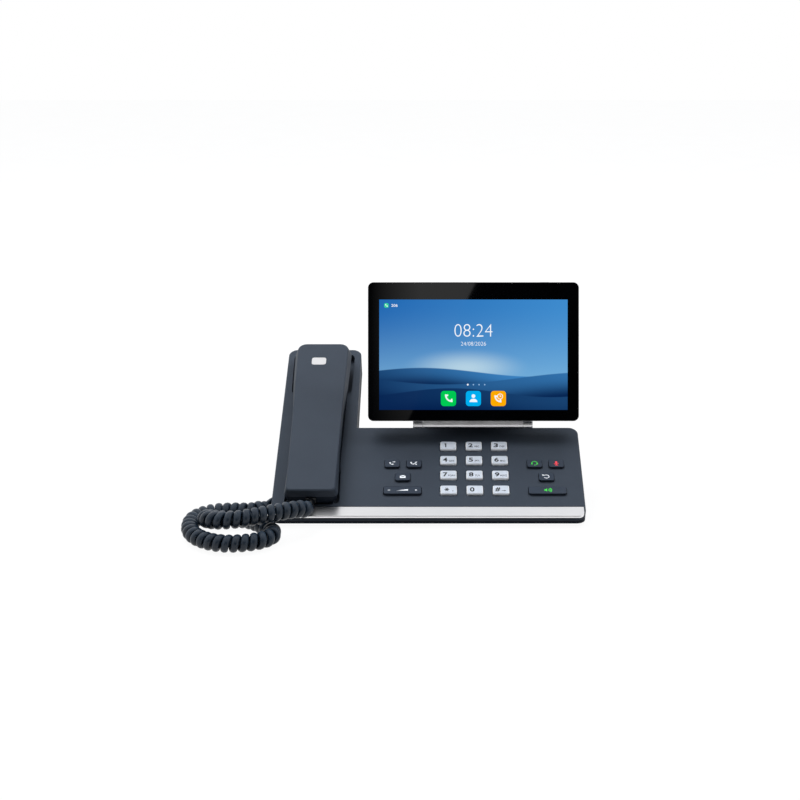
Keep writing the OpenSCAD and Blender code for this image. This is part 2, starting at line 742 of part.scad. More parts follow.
module network_sockets() color(near_black) on_slope()
    for (x = lan_x) translate([x, deck_length - socket_seat, -socket_top])
        modular_socket(lan_width, lan_height, 11.8, 7);

module headset_socket() color(near_black) on_slope()
    translate([headset_x, deck_length - socket_seat, -socket_top])
        modular_socket(11, 8, 7.8, 6.4);

module usb_socket() color(steel) on_slope()
    translate([usb_x, deck_length - socket_seat, -socket_top])
        difference() {
            translate([-usb_size[0] / 2, -socket_depth, -usb_size[1]])
                cube([usb_size[0], socket_depth, usb_size[1]]);
            translate([0.9 - usb_size[0] / 2, 3 - socket_depth, 0.9 - usb_size[1]])
                cube([usb_size[0] - 1.8, socket_depth, usb_size[1] - 1.8]);
        }

module power_socket() color(near_black) on_slope()
    translate([power_x, deck_length - socket_seat, -socket_top - lan_height / 2])
        difference() {
            translate([-4.7, -socket_depth, -lan_height / 2]) cube([9.4, socket_depth, lan_height]);
            rotate([90, 0, 0]) translate([0, 0, -1]) cylinder(r = power_radius, h = 10.5);
        }

module handset_socket() color(near_black) on_slope() difference() {
    handset_socket_block(0);
    translate([left + notch_depth - 1, jack_y - 3.95, -jack_w - 3])
        cube([11, 7.9, 6]);
}

// ---------------------------------------------------------------- screen

front_y = -screen_ahead;
frame_mid_z = screen_rise + screen_height / 2;
glass_w = screen_width - 2 * glass_rim;
glass_h = screen_height - 2 * glass_rim;
display_width = screen_width - 2 * display_side;
display_height = screen_height - display_over - display_under;
display_z = screen_rise + display_under + display_height / 2;

module screen_frame() color(near_black) on_screen() translate([0, front_y, frame_mid_z])
    difference() {
        upright(screen_width, screen_height, screen_corner, frame_depth);
        translate([0, -1, 0]) upright(glass_w + 0.2, glass_h + 0.2,
                                      screen_corner - glass_rim, 1 + glass_thickness + 0.05);
        translate([0, -1, 0]) upright(screen_width - 2 * frame_wall,
                                      screen_height - 2 * frame_wall,
                                      screen_corner - 2, frame_depth + 2);
        // seat of the status light
        translate([light_x - light_width / 2 - 0.2, 2.2, screen_height / 2 - 1.2])
            cube([light_width + 0.4, 3, 4]);
    }

module cover_glass() color([0.01, 0.02, 0.03]) on_screen()
    translate([0, front_y + 0.05, frame_mid_z])
        upright(glass_w, glass_h, screen_corner - glass_rim, glass_thickness);

module display_panel() color([0.1, 0.3, 0.6]) on_screen()
    translate([0, front_y + glass_thickness + 0.05, display_z])
        translate([-display_width / 2 - 3, 0, -display_height / 2 - 3])
            cube([display_width + 6, 3, display_height + 6]);

module screen_board() color(board_green) on_screen()
    translate([0, front_y + glass_thickness + 3.4, frame_mid_z])
        upright(display_width - 13.6, display_height - 6, 2, board_thickness);

module screen_cover() color(slate_dark) on_screen() difference() {
    union() {
        hull() {
            translate([0, front_y + frame_depth, frame_mid_z])
                upright(screen_width, screen_height, screen_corner, 1);
            translate([0, front_y + frame_depth, frame_mid_z])
                upright(screen_width - 16, screen_height - 16, screen_corner, cover_depth);
        }
        // tongue that locates it in the frame
        translate([0, front_y + frame_depth - 2, frame_mid_z])
            upright(screen_width - 2 * frame_wall - 0.4, screen_height - 2 * frame_wall - 0.4,
                    screen_corner - 2, 2.01);
    }
    difference() {
        translate([0, front_y + frame_depth - 3, frame_mid_z])
            upright(screen_width - 2 * frame_wall - 6, screen_height - 2 * frame_wall - 6,
                    2, 5);
        // bosses for the screws
        for (p = cover_screws) translate([p[0], 0, p[1]]) rotate([90, 0, 0])
            cylinder(r = 4, h = 60);
    }
    // ventilation slots
    for (i = [-9:9]) translate([i * 6 - 1, front_y + frame_depth - 1,
                                screen_rise + screen_height - 26])
        cube([2, cover_depth + 4, 12]);
    for (p = cover_screws) translate([p[0], front_y + frame_depth + cover_depth - 1.2, p[1]])
        rotate([-90, 0, 0]) {
            cylinder(r = screw_head + 0.3, h = 4);
            translate([0, 0, -8]) cylinder(r = screw_radius + screw_gap, h = 9);
        }
    for (p = arm_screw_places)
        translate([p[0], 0, p[1]]) rotate([90, 0, 0])
            cylinder(r = screw_radius + screw_gap, h = 15);
}

cover_screws = [for (x = [-1, 1]) for (z = [0, 1])
    [x * (screen_width / 2 - 14), screen_rise + 16 + z * (screen_height - 32)]];
arm_screw_places = [for (x = [-1, 1]) for (z = [0, 1]) [x * 30, neck_length - 6 - 13 * z]];

module screen_screws() color(steel) on_screen()
    for (p = cover_screws) translate([p[0], front_y + frame_depth + cover_depth - 1.2, p[1]])
        rotate([90, 0, 0]) screw_at(3);

module status_light() color([0.8, 0.82, 0.84]) on_screen()
    translate([light_x - light_width / 2, front_y + 2.4, screen_rise + screen_height - 1.1])
        cube([light_width, 2.6, 1.4]);

module hinge_arm() color(silver) on_screen() difference() {
    back = front_y + frame_depth + cover_depth;
    union() {
        rotate([0, 90, 0]) cylinder(r = barrel_radius, h = neck_width, center = true);
        // plate up behind the screen
        translate([-neck_width / 2, -barrel_radius, 0])
            cube([neck_width, neck_plate, neck_length - 6]);
        translate([0, -barrel_radius, neck_length - 12])
            upright(neck_width, 24, 6, neck_plate);
        // block that bears on the rear cover
        translate([-neck_width / 2 + 5, back, neck_length - 24])
            cube([neck_width - 10, -barrel_radius - back + 0.1, 24]);
    }
    rotate([0, 90, 0]) cylinder(r = pin_radius + pin_clearance, h = far, center = true);
    for (p = arm_screw_places) translate([p[0], far / 2, p[1]]) rotate([90, 0, 0])
        cylinder(r = screw_radius + screw_gap, h = far);
}

module arm_screws() color(steel) on_screen()
    for (p = arm_screw_places)
        translate([p[0], neck_plate - barrel_radius, p[1]]) rotate([90, 0, 0])
            screw_at(neck_plate - barrel_radius - front_y - frame_depth - cover_depth + 3);

module hinge_pin() color(steel) translate([screen_x, hinge_y, hinge_z]) rotate([0, 90, 0])
    cylinder(r = pin_radius, h = neck_width + 2 * (lug_gap + lug_width), center = true);

module hinge_caps() color(slate_dark) for (side = [-1, 1])
    translate([screen_x + side * (neck_width / 2 + lug_gap + lug_width + 0.5), hinge_y, hinge_z])
        rotate([0, 90, 0]) cylinder(r = barrel_radius - 0.6, h = 1, center = true);

// ---------------------------------------------------------------- handset

// the front shell: a flat face with a rounded edge and flared sides
module handset_front() color(slate) on_handset() {
    front_shell();
    // bosses for the two screws
    for (t = handset_screw_t) translate([0, t, grip_gap + handset_wall + 0.3]) difference() {
        cylinder(r = 2.8, h = handset_rise - handset_wall - grip_gap - handset_wall);
        translate([0, 0, -1]) cylinder(r = screw_radius + screw_gap, h = 8);
    }
}

// one skin: from the hollow's ceiling down, out along the joint and up to the face
module front_shell()
    loft([handset_outline(0, handset_length, 0.2, handset_wall, 3, 7),
          handset_outline(0, handset_length, 0.8, handset_wall, 3, 7),
          handset_outline(0, handset_length, 1, 0, 4, 8),
          handset_outline(0, handset_length, 0.9, 0.2, 4, 8),
          handset_outline(0.5, handset_length - 0.5, 0.1, 0, 3.4, 7.4),
          handset_outline(1, handset_length - 1, 0, 0.6, 3, 7)],
         [handset_rise - handset_wall, handset_joint, handset_joint,
          handset_joint + 1.5, handset_rise - 0.7, handset_rise]);

// the back shell: a grip between the ear and mouth ends
module handset_back() color(slate_dark) on_handset() difference() {
    union() {
        loft([handset_outline(1, handset_length - 1, 0, 1.2, 3, 7),
              handset_outline(0.4, handset_length - 0.4, 0.5, 0.3, 3.6, 7.6),
              handset_outline(0, handset_length, 1, 0.2, 4, 8)],
             [grip_gap, grip_gap + 3, handset_joint - 0.02]);
        end_bump(0.8, mouth_end);
        end_bump(ear_start, handset_length - 0.8);
    }
    loft([handset_outline(0, handset_length, 0, handset_wall + 1.2, 2, 6),
          handset_outline(0, handset_length, 0.8, handset_wall, 3, 7)],
         [grip_gap + 2.2, handset_joint + 1]);
    // holes for the receiver and the microphone
    translate([0, (ear_start + handset_length) / 2, -bump_depth - 1]) {
        for (a = [0:60:300]) rotate([0, 0, a]) translate([5, 0, 0])
            cylinder(r = 0.9, h = 20, $fn = 16);
        cylinder(r = 0.9, h = 20, $fn = 16);
    }
    translate([0, mouth_end / 2, -bump_depth - 1]) cylinder(r = 1, h = 20, $fn = 16);
    plug_room(0.15);
    for (t = handset_screw_t) translate([0, t, -far / 2]) {
        cylinder(r = screw_radius + screw_gap, h = far);
        cylinder(r = screw_head + 0.3, h = far / 2 + grip_gap + 1.1);
    }
}

handset_screw_t = [mouth_end + 6, ear_start - 18];

module end_bump(t0, t1)
    translate([0, (t0 + t1) / 2, grip_gap + 1]) rotate([180, 0, 0])
        bevelled(2 * face_half(t0) - 4, t1 - t0 - 3, 6, bump_depth + grip_gap + 1, 1.2);

// the hole in the lower end that takes the plug
module plug_room(g)
    translate([-3.95 - g, -1, plug_rise - 3 - g])
        cube([7.9 + 2 * g, 11 + g, 6 + 2 * g]);

module receiver() color(near_black) on_handset()
    translate([0, (ear_start + handset_length) / 2, grip_gap + 2.3])
        cylinder(r = 14, h = 4);

module microphone() color(near_black) on_handset()
    translate([0, mouth_end / 2 + 4, grip_gap + 2.3])
        cylinder(r = 4.8, h = 3);

module handset_weight() color(steel) on_handset()
    translate([0, (handset_screw_t[0] + handset_screw_t[1]) / 2, grip_gap + 2.3])
        pad(22, 46, 2, 5);

module handset_screws() color(steel) on_handset()
    for (t = handset_screw_t) translate([0, t, grip_gap + 1.1])
        screw_at(6.5);

// ---------------------------------------------------------------- cord

// a modular plug whose tongue points along +y, boot behind
module plug_body() {
    translate([-3.8, -1, -2.9]) cube([7.6, 10.5, 5.8]);
    translate([0, -0.3, 0]) rotate([90, 0, 0])
        cylinder(r1 = 3.2, r2 = wire_radius + 0.3, h = boot_length - 0.3);
}

module handset_plug() color(cord_black) on_handset()
    translate([0, 0, plug_rise]) plug_body();

module base_plug() color(cord_black) on_slope()
    translate([left + notch_depth, jack_y, -jack_w])
        rotate([0, 0, -90]) plug_body();

// a smooth curve through the route's points
function spline(p, i, t) =
    let (
        a = p[max(i - 1, 0)],
        b = p[i],
        c = p[i + 1],
        d = p[min(i + 2, len(p) - 1)])
    0.5 * (2 * b + (c - a) * t + (2 * a - 5 * b + 4 * c - d) * t * t
        + (-a + 3 * b - 3 * c + d) * t * t * t);

cord_line = concat(
    [for (i = [0:len(cord_route) - 2]) for (j = [0:cord_steps - 1])
        spline(cord_route, i, j / cord_steps)],
    [cord_route[len(cord_route) - 1]]);

// distance along the line up to each of its points
function running(p, i = 0, s = 0) =
    i == len(p) ? [] : concat([s], running(p, i + 1,
        s + (i < len(p) - 1 ? norm(p[i + 1] - p[i]) : 0)));

function unit(v) = v / norm(v);

// a direction square to the line, carried along it without twist
function carried(p, n, i = 0) =
    let (
        t = unit(p[min(i + 1, len(p) - 1)] - p[max(i - 1, 0)]),
        u = unit(n - (n * t) * t))
    i == len(p) - 1 ? [u] : concat([u], carried(p, u, i + 1));

module cord() color(cord_black) on_table() {
    s = running(cord_line);
    end = s[len(s) - 1];
    normals = carried(cord_line, [0, 0, 1]);
    n = len(cord_line);
    points = [for (i = [0:n - 1])
        let (
            t = unit(cord_line[min(i + 1, n - 1)] - cord_line[max(i - 1, 0)]),
            b = cross(t, normals[i]),
            open = min(1, max(0, min(s[i] - 1, end - s[i] - 12) / cord_ramp)),
            r = wire_radius + (coil_radius - wire_radius) * open)
        for (k = [0:cord_sides - 1])
            let (a = 360 * k / cord_sides)
            cord_line[i] + r * (cos(a) * normals[i] + sin(a) * b)];
    polyhedron(points, concat(
        [[for (k = [0:cord_sides - 1]) k]],
        [[for (k = [cord_sides - 1:-1:0]) (n - 1) * cord_sides + k]],
        [for (i = [0:n - 2]) for (k = [0:cord_sides - 1])
            let (l = (k + 1) % cord_sides)
            [i * cord_sides + l, i * cord_sides + k,
             (i + 1) * cord_sides + k, (i + 1) * cord_sides + l]]));
}

// ---------------------------------------------------------------- the phone

top_housing();
bottom_housing();
trim_strip();
foot_stand();
stand_pads();
front_feet();
housing_screws();
stand_screws();
keypad_membrane();
key_board();
main_board();
loudspeaker();
hook_switch();
hook_pin();
dial_key(0);  // key_1
dial_key(1);  // key_2
dial_key(2);  // key_3
dial_key(3);  // key_4
dial_key(4);  // key_5
dial_key(5);  // key_6
dial_key(6);  // key_7
dial_key(7);  // key_8
dial_key(8);  // key_9
dial_key(9);  // key_star
dial_key(10);  // key_0
dial_key(11);  // key_hash
soft_key(0);  // transfer_key
soft_key(1);  // conference_key
soft_key(2);  // message_key
soft_key(3);  // headset_key
soft_key(4);  // mute_key
soft_key(5);  // redial_key
soft_key(6);  // speaker_key
volume_rocker();
network_sockets();
headset_socket();
power_socket();
usb_socket();
handset_socket();
hinge_lugs();
hinge_pin();
hinge_caps();
hinge_arm();
arm_screws();
screen_frame();
screen_cover();
screen_screws();
cover_glass();
display_panel();
screen_board();
status_light();
handset_front();
handset_back();
receiver();
microphone();
handset_weight();
handset_screws();
handset_plug();
base_plug();
cord();
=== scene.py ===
"""Desk IP phone: finishes, legends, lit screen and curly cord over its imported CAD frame.

Places are in metres in the frame's own axes: X across the phone, +Y to the rear, +Z up.
The key deck and the handset are laid out in slope coordinates (u across, v up the slope, w out of it),
and the screen unit in the plane of its leaning glass. A finished piece stands at the origin, with its
place in its mesh.
"""

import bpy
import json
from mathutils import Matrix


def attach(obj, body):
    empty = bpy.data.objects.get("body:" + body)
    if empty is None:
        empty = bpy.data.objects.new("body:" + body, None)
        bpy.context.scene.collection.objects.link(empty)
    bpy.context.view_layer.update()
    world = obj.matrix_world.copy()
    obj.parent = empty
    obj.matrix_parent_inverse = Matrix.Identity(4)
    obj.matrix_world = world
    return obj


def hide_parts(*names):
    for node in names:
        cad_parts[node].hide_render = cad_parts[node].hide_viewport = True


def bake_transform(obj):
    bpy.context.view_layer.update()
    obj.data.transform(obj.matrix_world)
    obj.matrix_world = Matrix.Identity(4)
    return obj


bl_info = {
    "name": "Desk IP phone",
    "version": (1, 0, 0),
    "blender": (4, 5, 0),
    "location": "3D View > Sidebar > Desk phone",
    "description": "Dresses the phone's frame with finishes, legends, a lit screen and a curly cord",
    "category": "Object",
}

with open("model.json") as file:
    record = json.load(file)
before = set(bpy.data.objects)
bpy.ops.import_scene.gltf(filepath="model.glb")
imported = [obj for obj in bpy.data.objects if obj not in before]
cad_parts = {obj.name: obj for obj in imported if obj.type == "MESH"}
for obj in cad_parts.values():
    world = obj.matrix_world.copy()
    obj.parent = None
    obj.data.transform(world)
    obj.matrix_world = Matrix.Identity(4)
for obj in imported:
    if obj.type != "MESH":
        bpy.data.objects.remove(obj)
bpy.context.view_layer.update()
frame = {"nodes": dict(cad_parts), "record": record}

import json
import math

import bmesh
import bpy
import numpy as np

MM = 0.001

# the frame's own planes, as the CAD places them
SLOPE = math.radians(24)          # the key deck's slope
HALF_DEPTH = 96.742 * MM          # the deck's front edge, ahead of the frame's origin
DECK_FRONT_Z = 9.008 * MM         # height of that edge
LEAN = math.radians(18)           # how far the screen leans back at rest
HINGE = np.array((36.5, 2.481, 50.449)) * MM
GLASS_AHEAD = 24.85 * MM          # the cover glass, ahead of the hinge's axis
HANDSET_FACE = 16 * MM            # the handset's front, over the deck's plane
KEY_TOP = 1.8 * MM                # a dial key's top, over the deck's plane

CAMERA_PLACE = (0.007608, -1.12343, 0.43514)
CAMERA_ELEVATION = math.radians(18)
CAMERA_SENSOR = 36.0
CAMERA_LENS = 64.271
CAMERA_SHIFT = (-0.0475, 0.00375)
CAMERA_CLIP = (0.05, 20)

# print and thin plates
SUNK = 0.01 * MM                  # how far a plate's foot lies inside the face that carries it
STAGGER = 2e-6                    # how much higher each further plate of one piece stands
SHEET_TOP = 0.02 * MM             # layers of the lit picture, over the cover glass
TILE_TOP = 0.04 * MM
GLYPH_TOP = 0.05 * MM
SYMBOL_TOP = 0.06 * MM

# keys: middles across the deck and up its slope
DIAL_X = [16.0 * MM, 36.7 * MM, 57.4 * MM]
DIAL_Y = [78.0 * MM, 61.2 * MM, 44.4 * MM, 27.6 * MM]
DIAL_NODES = [["key_1", "key_2", "key_3"], ["key_4", "key_5", "key_6"],
              ["key_7", "key_8", "key_9"], ["key_star", "key_0", "key_hash"]]
DIAL_DIGITS = ["123", "456", "789", "*0#"]
DIAL_LETTERS = [["", "ABC", "DEF"], ["GHI", "JKL", "MNO"], ["PQRS", "TUV", "WXYZ"], ["", "", ""]]
SHARED_ASIDE = -2.6 * MM          # middle of a digit that has a mark beside it, from the key's middle
LONE_ASIDE = -2.1 * MM            # middle of a digit that stands alone
STAR_ASIDE = 1.4 * MM             # the star stands this far left of its key's middle
LETTERS_ASIDE = 2.4 * MM
LETTER_PITCH = 1.3                # width of a group of letters: one pitch each, and a margin
LETTER_MARGIN = 0.3
DIGIT_WIDTH = 3.6 * MM
HASH_WIDTH = 4.0 * MM
DIGIT_WEIGHT = 0.03               # how much the type is thickened, in parts of its size
LETTERS_WEIGHT = 0.015
SOFT_PLACES = {
    "transfer": (-29.25, 57.84), "conference": (-11.75, 57.84), "message": (-20.5, 42.72),
    "headset": (85.35, 57.84), "mute": (102.85, 57.84), "redial": (94.1, 42.72),
    "speaker": (94.1, 27.6), "volume": (-20.5, 27.6)}
SOFT_TOP = 1.08 * MM              # middle of a function key's sloping top
SOFT_TILT = -math.atan(0.15)      # its fall towards the rear
LONG_TILT = -math.atan(0.16)

# the cord's route, in millimetres from the middle of the front edge: the CAD's own, but its front strand
# lies up to 6 mm nearer the phone and two points near its end are 0.1 mm higher
CORD_ROUTE = [
    (-91.5, 3.15, 16.5), (-91.5, 0.8, 15.5), (-93, -3, 16.2), (-98, -8.5, 18.8),
    (-106, -15.5, 20.5),
    (-118, -23, 21.3), (-129.5, -29.5, 21.4), (-141, -34, 21), (-153, -35, 20.2),
    (-163, -30.5, 18.6), (-168.5, -22, 16.2), (-168, -11.5, 12.4), (-163, -4, 8.6),
    (-153, -0.5, 6.9), (-142, -1.5, 6.9), (-132.5, -7.5, 6.9), (-124.5, -16, 6.9),
    (-118.5, -25, 6.9), (-118.5, -34, 6.9), (-126, -42, 6.9), (-138, -46.5, 6.9),
    (-151, -47.5, 6.9), (-163.5, -43.5, 6.9), (-173.5, -35.5, 6.9), (-180, -25, 6.9),
    (-182.5, -13.5, 6.9), (-182, -2, 6.9), (-176.5, 8, 6.9), (-166, 14.5, 6.9),
    (-154, 16, 6.9), (-143, 16, 6.9), (-136.5, 17.5, 6.9), (-131.5, 22, 6.9),
    (-128.5, 28, 7.8), (-125, 32.6, 9.2), (-121, 34.2, 9.6), (-118.3, 34.2, 9.6)]
ROUTE_STEPS = 24                  # points between two of the route's own
CORD_SAMPLES = 1300               # rings along the wire
CORD_SIDES = 12                   # points round a ring
CORD_HEAD = 1 * MM                # straight wire at the handset's plug
CORD_TAIL = 12 * MM               # straight wire at the phone's plug

# the picture's waves, far to near: level, height, turns, phase, sinking, light
WAVES = ((0.345, 0.040, 5.2, 0.4, 0.20, 0.85), (0.29, 0.055, 4.1, 3.3, 0.26, 0.5),
         (0.16, 0.040, 5.9, 5.6, 0.30, 0.15))

# what stands on the picture, in millimetres: pitches across, and heights over the hinge
PAGE_DOTS = 4
DOT_PITCH = 4.6
ICON_PITCH = 20.35
STATUS_HEIGHT = 97.5
CLOCK_HEIGHT = 77.1
DATE_HEIGHT = 66.3
DOT_HEIGHT = 32.9
ICON_HEIGHT = 21.6

BADGE_PLACE = (-94.2 * MM, 167.3 * MM)

CONTACT_PITCH = 1.02              # spring contacts, in millimetres
CONTACT_WIDE = 0.36
CONTACT_THICK = 0.3

# the stage, in metres and watts: each lamp's name, place, width, height and power
LAMPS = (("key_lamp", (-0.7, 0.5, 1.6), 1.1, 1.0, 24), ("fill_lamp", (0.9, 0.4, 1.5), 1.0, 0.8, 13))
LAMP_AIM = (0, 0, 0.03)
TABLE_THICK = 12 * MM
CARD_BEHIND = 50 * MM             # the glare card, behind the camera

# a colour Mix node's sockets by number, because their names repeat for each data type
SHARE, FROM, TO = 0, 6, 7

# a lit area's own surface: black, with the faint gloss of the glass that lies over it
LIT_SURFACE = {"Emission Strength": 1.0, "Base Color": (0, 0, 0), "Roughness": 0.05,
               "Specular IOR Level": 0.04}


def hex_colour(code):
    """An sRGB colour code as the linear red, green and blue that Blender's colours hold."""
    parts = np.array([int(code[i:i + 2], 16) for i in (1, 3, 5)]) / 255
    return tuple(np.where(parts <= 0.04045, parts / 12.92, ((parts + 0.055) / 1.055) ** 2.4))


def colour_size(name, description, code):
    """A colour that a user may change."""
    return bpy.props.FloatVectorProperty(name=name, description=description, default=hex_colour(code),
                                         subtype="COLOR", size=3, min=0, max=1)


def length_size(name, description, millimetres):
    """A length that a user may change, with its default in millimetres."""
    return bpy.props.FloatProperty(name=name, description=description, default=millimetres * MM,
                                   min=0, unit="LENGTH", subtype="DISTANCE", precision=5)


class PhoneSizes(bpy.types.PropertyGroup):
    """Sizes of the pieces that the scene adds to the frame."""

    wire: length_size("Wire", "Thickness of the cord's flat wire", 4.2)
    wire_width: length_size("Wire width", "Width of the cord's flat wire along the coil", 5.7)
    coil: length_size("Coil", "Radius of the wire's centreline in the coil", 4.8)
    pitch: length_size("Pitch", "Distance between two turns along the cord", 6.4)
    ramp: length_size("Ramp", "Length over which the coil opens and closes", 9)
    ink: length_size("Ink", "Height that printed legends stand proud", 0.03)
    digit: length_size("Digit", "Height of a dial key's digit", 4.6)
    letters: length_size("Letters", "Height of a dial key's letters", 2.0)
    clock: length_size("Clock", "Height of the clock's digits", 10.4)
    icon: length_size("Icon", "Width of an icon on the screen", 12.4)
    picture_width: length_size("Picture width", "Width of the lit picture", 153.6)
    picture_height: length_size("Picture height", "Height of the lit picture", 90)
    picture_foot: length_size("Picture foot", "Height of the picture over the hinge", 12.3)
    badge_width: length_size("Badge width", "Width of the bare plate on the handset", 12.2)
    badge_height: length_size("Badge height", "Height of the bare plate on the handset", 9.2)


class PhoneColours(bpy.types.PropertyGroup):
    """Colours of the phone's finishes."""

    slate: colour_size("Slate", "Top housing and handset front", "#3b424c")
    # painted shade: the slate plastic again, darkened to the shade on the bottom housing's front face; it
    # also colours the stand, rear cover and handset back
    slate_shaded: colour_size("Slate with painted shade", "Bottom housing, stand and rear cover", "#1b222c")
    soft_key: colour_size("Function key", "Function keys and volume rocker", "#363d48")
    silver: colour_size("Silver", "Trim strip and badge", "#ececee")
    hinge: colour_size("Hinge", "Hinge arm", "#f2f2f4")
    key: colour_size("Dial key", "Top of a dial key", "#cbd2dc")
    # painted highlight: the rim colour is lighter than the key's top and stands in for light on its rounded
    # edge
    key_rim_highlight: colour_size("Dial key rim", "Rounded edge of a dial key", "#f6f8fb")
    ink: colour_size("Ink", "Digits on the dial keys", "#11151b")
    letters: colour_size("Letters", "Letters on the dial keys", "#3a414c")
    white: colour_size("White print", "Symbols on the function keys", "#e9edf1")
    green: colour_size("Green print", "Headset and loudspeaker symbols", "#37c53a")
    red: colour_size("Red print", "Microphone symbol", "#e33a45")
    cord: colour_size("Cord", "Curly cord", "#1e2a37")
    sky_high: colour_size("Sky", "Top of the screen's picture", "#2068b2")
    sky_low: colour_size("Horizon", "Light band of the screen's picture", "#8cc4e4")
    wave_near: colour_size("Near wave", "Lowest part of the screen's picture", "#011a49")
    wave_far: colour_size("Far wave", "Upper edge of the waves in the picture", "#3a80bf")


# ------------------------------------------------------------------ places


def on_slope(u, v, w):
    """Slope coordinates to the frame: v and w turn by the slope about X, then move to the deck's front
    edge."""
    u, v, w = np.broadcast_arrays(u, v, w)
    return np.stack([u, v * math.cos(SLOPE) - w * math.sin(SLOPE) - HALF_DEPTH,
                     DECK_FRONT_Z + v * math.sin(SLOPE) + w * math.cos(SLOPE)], axis=-1)


def on_table(points):
    """Points in millimetres from the middle of the front edge, to the frame."""
    return np.array(points, float) * MM - np.array((0, HALF_DEPTH, 0))


class Face:
    """A flat place for print and plates: its origin, its two directions and its outward normal."""

    def __init__(self, origin, right, up):
        self.origin = np.array(origin, float)
        self.right = np.array(right, float)
        self.up = np.array(up, float)
        self.out = np.cross(self.right, self.up)

    def at(self, flat):
        """Origin plus right times the first, up times the second and outward times the third coordinate."""
        return self.origin + flat @ np.stack([self.right, self.up, self.out])


def slope_face(u, v, w, tilt=0.0):
    """A face on the deck, turned by tilt about X against the deck's own slope."""
    angle = SLOPE + tilt
    return Face(on_slope(u, v, w), (1, 0, 0), (0, math.cos(angle), math.sin(angle)))


def screen_face(x, z):
    """A face on the front of the cover glass: x from the screen's middle, z over the hinge axis."""
    up = np.array((0, math.sin(LEAN), math.cos(LEAN)))
    ahead = np.array((0, -math.cos(LEAN), math.sin(LEAN)))
    origin = HINGE + np.array((x, 0, 0)) + up * z + ahead * GLASS_AHEAD
    return Face(origin, (1, 0, 0), up)


# ------------------------------------------------------------------ meshes


def new_piece(name, vertices, faces, material, smooth=False):
    """A mesh object at the origin with its place in its vertices."""
    mesh = bpy.data.meshes.new(name)
    mesh.from_pydata(np.asarray(vertices).tolist(), [], [list(map(int, f)) for f in faces])
    mesh.update()
    if smooth:
        mesh.polygons.foreach_set("use_smooth", np.ones(len(mesh.polygons), bool))
    mesh.materials.append(material)
    made = bpy.data.objects.new(name, mesh)
    bpy.context.scene.collection.objects.link(made)
    return made


def grid_faces(rows, columns):
    """Quads between neighbouring rows of a grid whose last column joins the first."""
    i, j = np.meshgrid(np.arange(rows - 1), np.arange(columns), indexing="ij")
    k = (j + 1) % columns
    return np.stack([i * columns + j, i * columns + k, (i + 1) * columns + k, (i + 1) * columns + j],
                    axis=-1).reshape(-1, 4)


def plate(outline, low, high):
    """A closed plate: an outline, taken anticlockwise, at height low and again at height high, with a lid
    on each."""
    n = len(outline)
    turn = np.sum(outline[:, 0] * np.roll(outline[:, 1], -1) - outline[:, 1] * np.roll(outline[:, 0], -1))
    flat = outline if turn > 0 else outline[::-1]
    vertices = np.vstack([np.column_stack([flat, np.full(n, h)]) for h in (low, high)])
    faces = [np.arange(n)[::-1], np.arange(n) + n, *grid_faces(2, n)]
    return vertices, faces


def stacked(parts):
    """The vertices and faces of several closed parts, as one array and one list."""
    vertices, faces, count = [], [], 0
    for part_vertices, part_faces in parts:
        vertices.append(part_vertices)
        faces += [np.asarray(face) + count for face in part_faces]
        count += len(part_vertices)
    return np.vstack(vertices), faces


def plates(name, outlines, face, material, thickness, sunk=SUNK):
    """One piece of several plates on a face, from outlines in millimetres. Each next plate stands a
    little higher than the last, so that no two tops share a plane."""
    flat, faces = stacked(plate(outline * MM, -sunk, thickness + k * STAGGER)
                          for k, outline in enumerate(outlines))
    return new_piece(name, face.at(flat), faces, material)


def map_flat(piece, layer_name, flat):
    """A UV map that holds two flat coordinates of each of the mesh's corners."""
    layer = piece.data.uv_layers.new(name=layer_name)
    corner = np.zeros(len(piece.data.loops), int)
    piece.data.loops.foreach_get("vertex_index", corner)
    layer.data.foreach_set("uv", flat[corner, :2].ravel())


def lettering(name, text, face, height, material, thickness, weight, width, slant=0.0, base=None):
    """Characters as a closed mesh: the font's outline is extruded, scaled to its width and height, and its
    middle put on the face's origin, or its foot at the height base."""
    curve = bpy.data.curves.new(name, "FONT")
    curve.body = text
    curve.size = 1.0
    curve.offset = weight
    curve.extrude = 0.1
    curve.shear = slant
    curve.resolution_u = 6
    shown = bpy.data.objects.new(name, curve)
    mesh = bpy.data.meshes.new_from_object(shown)
    bpy.data.objects.remove(shown)
    bpy.data.curves.remove(curve)
    close_mesh(mesh)
    flat = np.zeros(len(mesh.vertices) * 3)
    mesh.vertices.foreach_get("co", flat)
    flat = flat.reshape(-1, 3)
    low, high = flat.min(0), flat.max(0)
    scale_y = height / (high[1] - low[1])
    scale_x = width / (high[0] - low[0])
    foot = -height / 2 if base is None else base
    flat = np.column_stack([(flat[:, 0] - (low[0] + high[0]) / 2) * scale_x,
                            (flat[:, 1] - low[1]) * scale_y + foot,
                            np.where(flat[:, 2] > 0, thickness, -SUNK)])
    mesh.vertices.foreach_set("co", face.at(flat).ravel())
    mesh.name = name
    mesh.update()
    mesh.materials.clear()
    mesh.materials.append(material)
    made = bpy.data.objects.new(name, mesh)
    bpy.context.scene.collection.objects.link(made)
    return made


def close_mesh(mesh):
    """Joins doubled vertices and turns every face outwards."""
    work = bmesh.new()
    work.from_mesh(mesh)
    bmesh.ops.remove_doubles(work, verts=work.verts, dist=1e-5)
    bmesh.ops.recalc_face_normals(work, faces=work.faces)
    work.to_mesh(mesh)
    work.free()


# ------------------------------------------------------------------ flat shapes, in millimetres


def smooth_step(value):
    """Rises from 0 to 1 with level ends: 3 x^2 - 2 x^3, with x held between 0 and 1."""
    x = np.clip(value, 0, 1)
    return x * x * (3 - 2 * x)


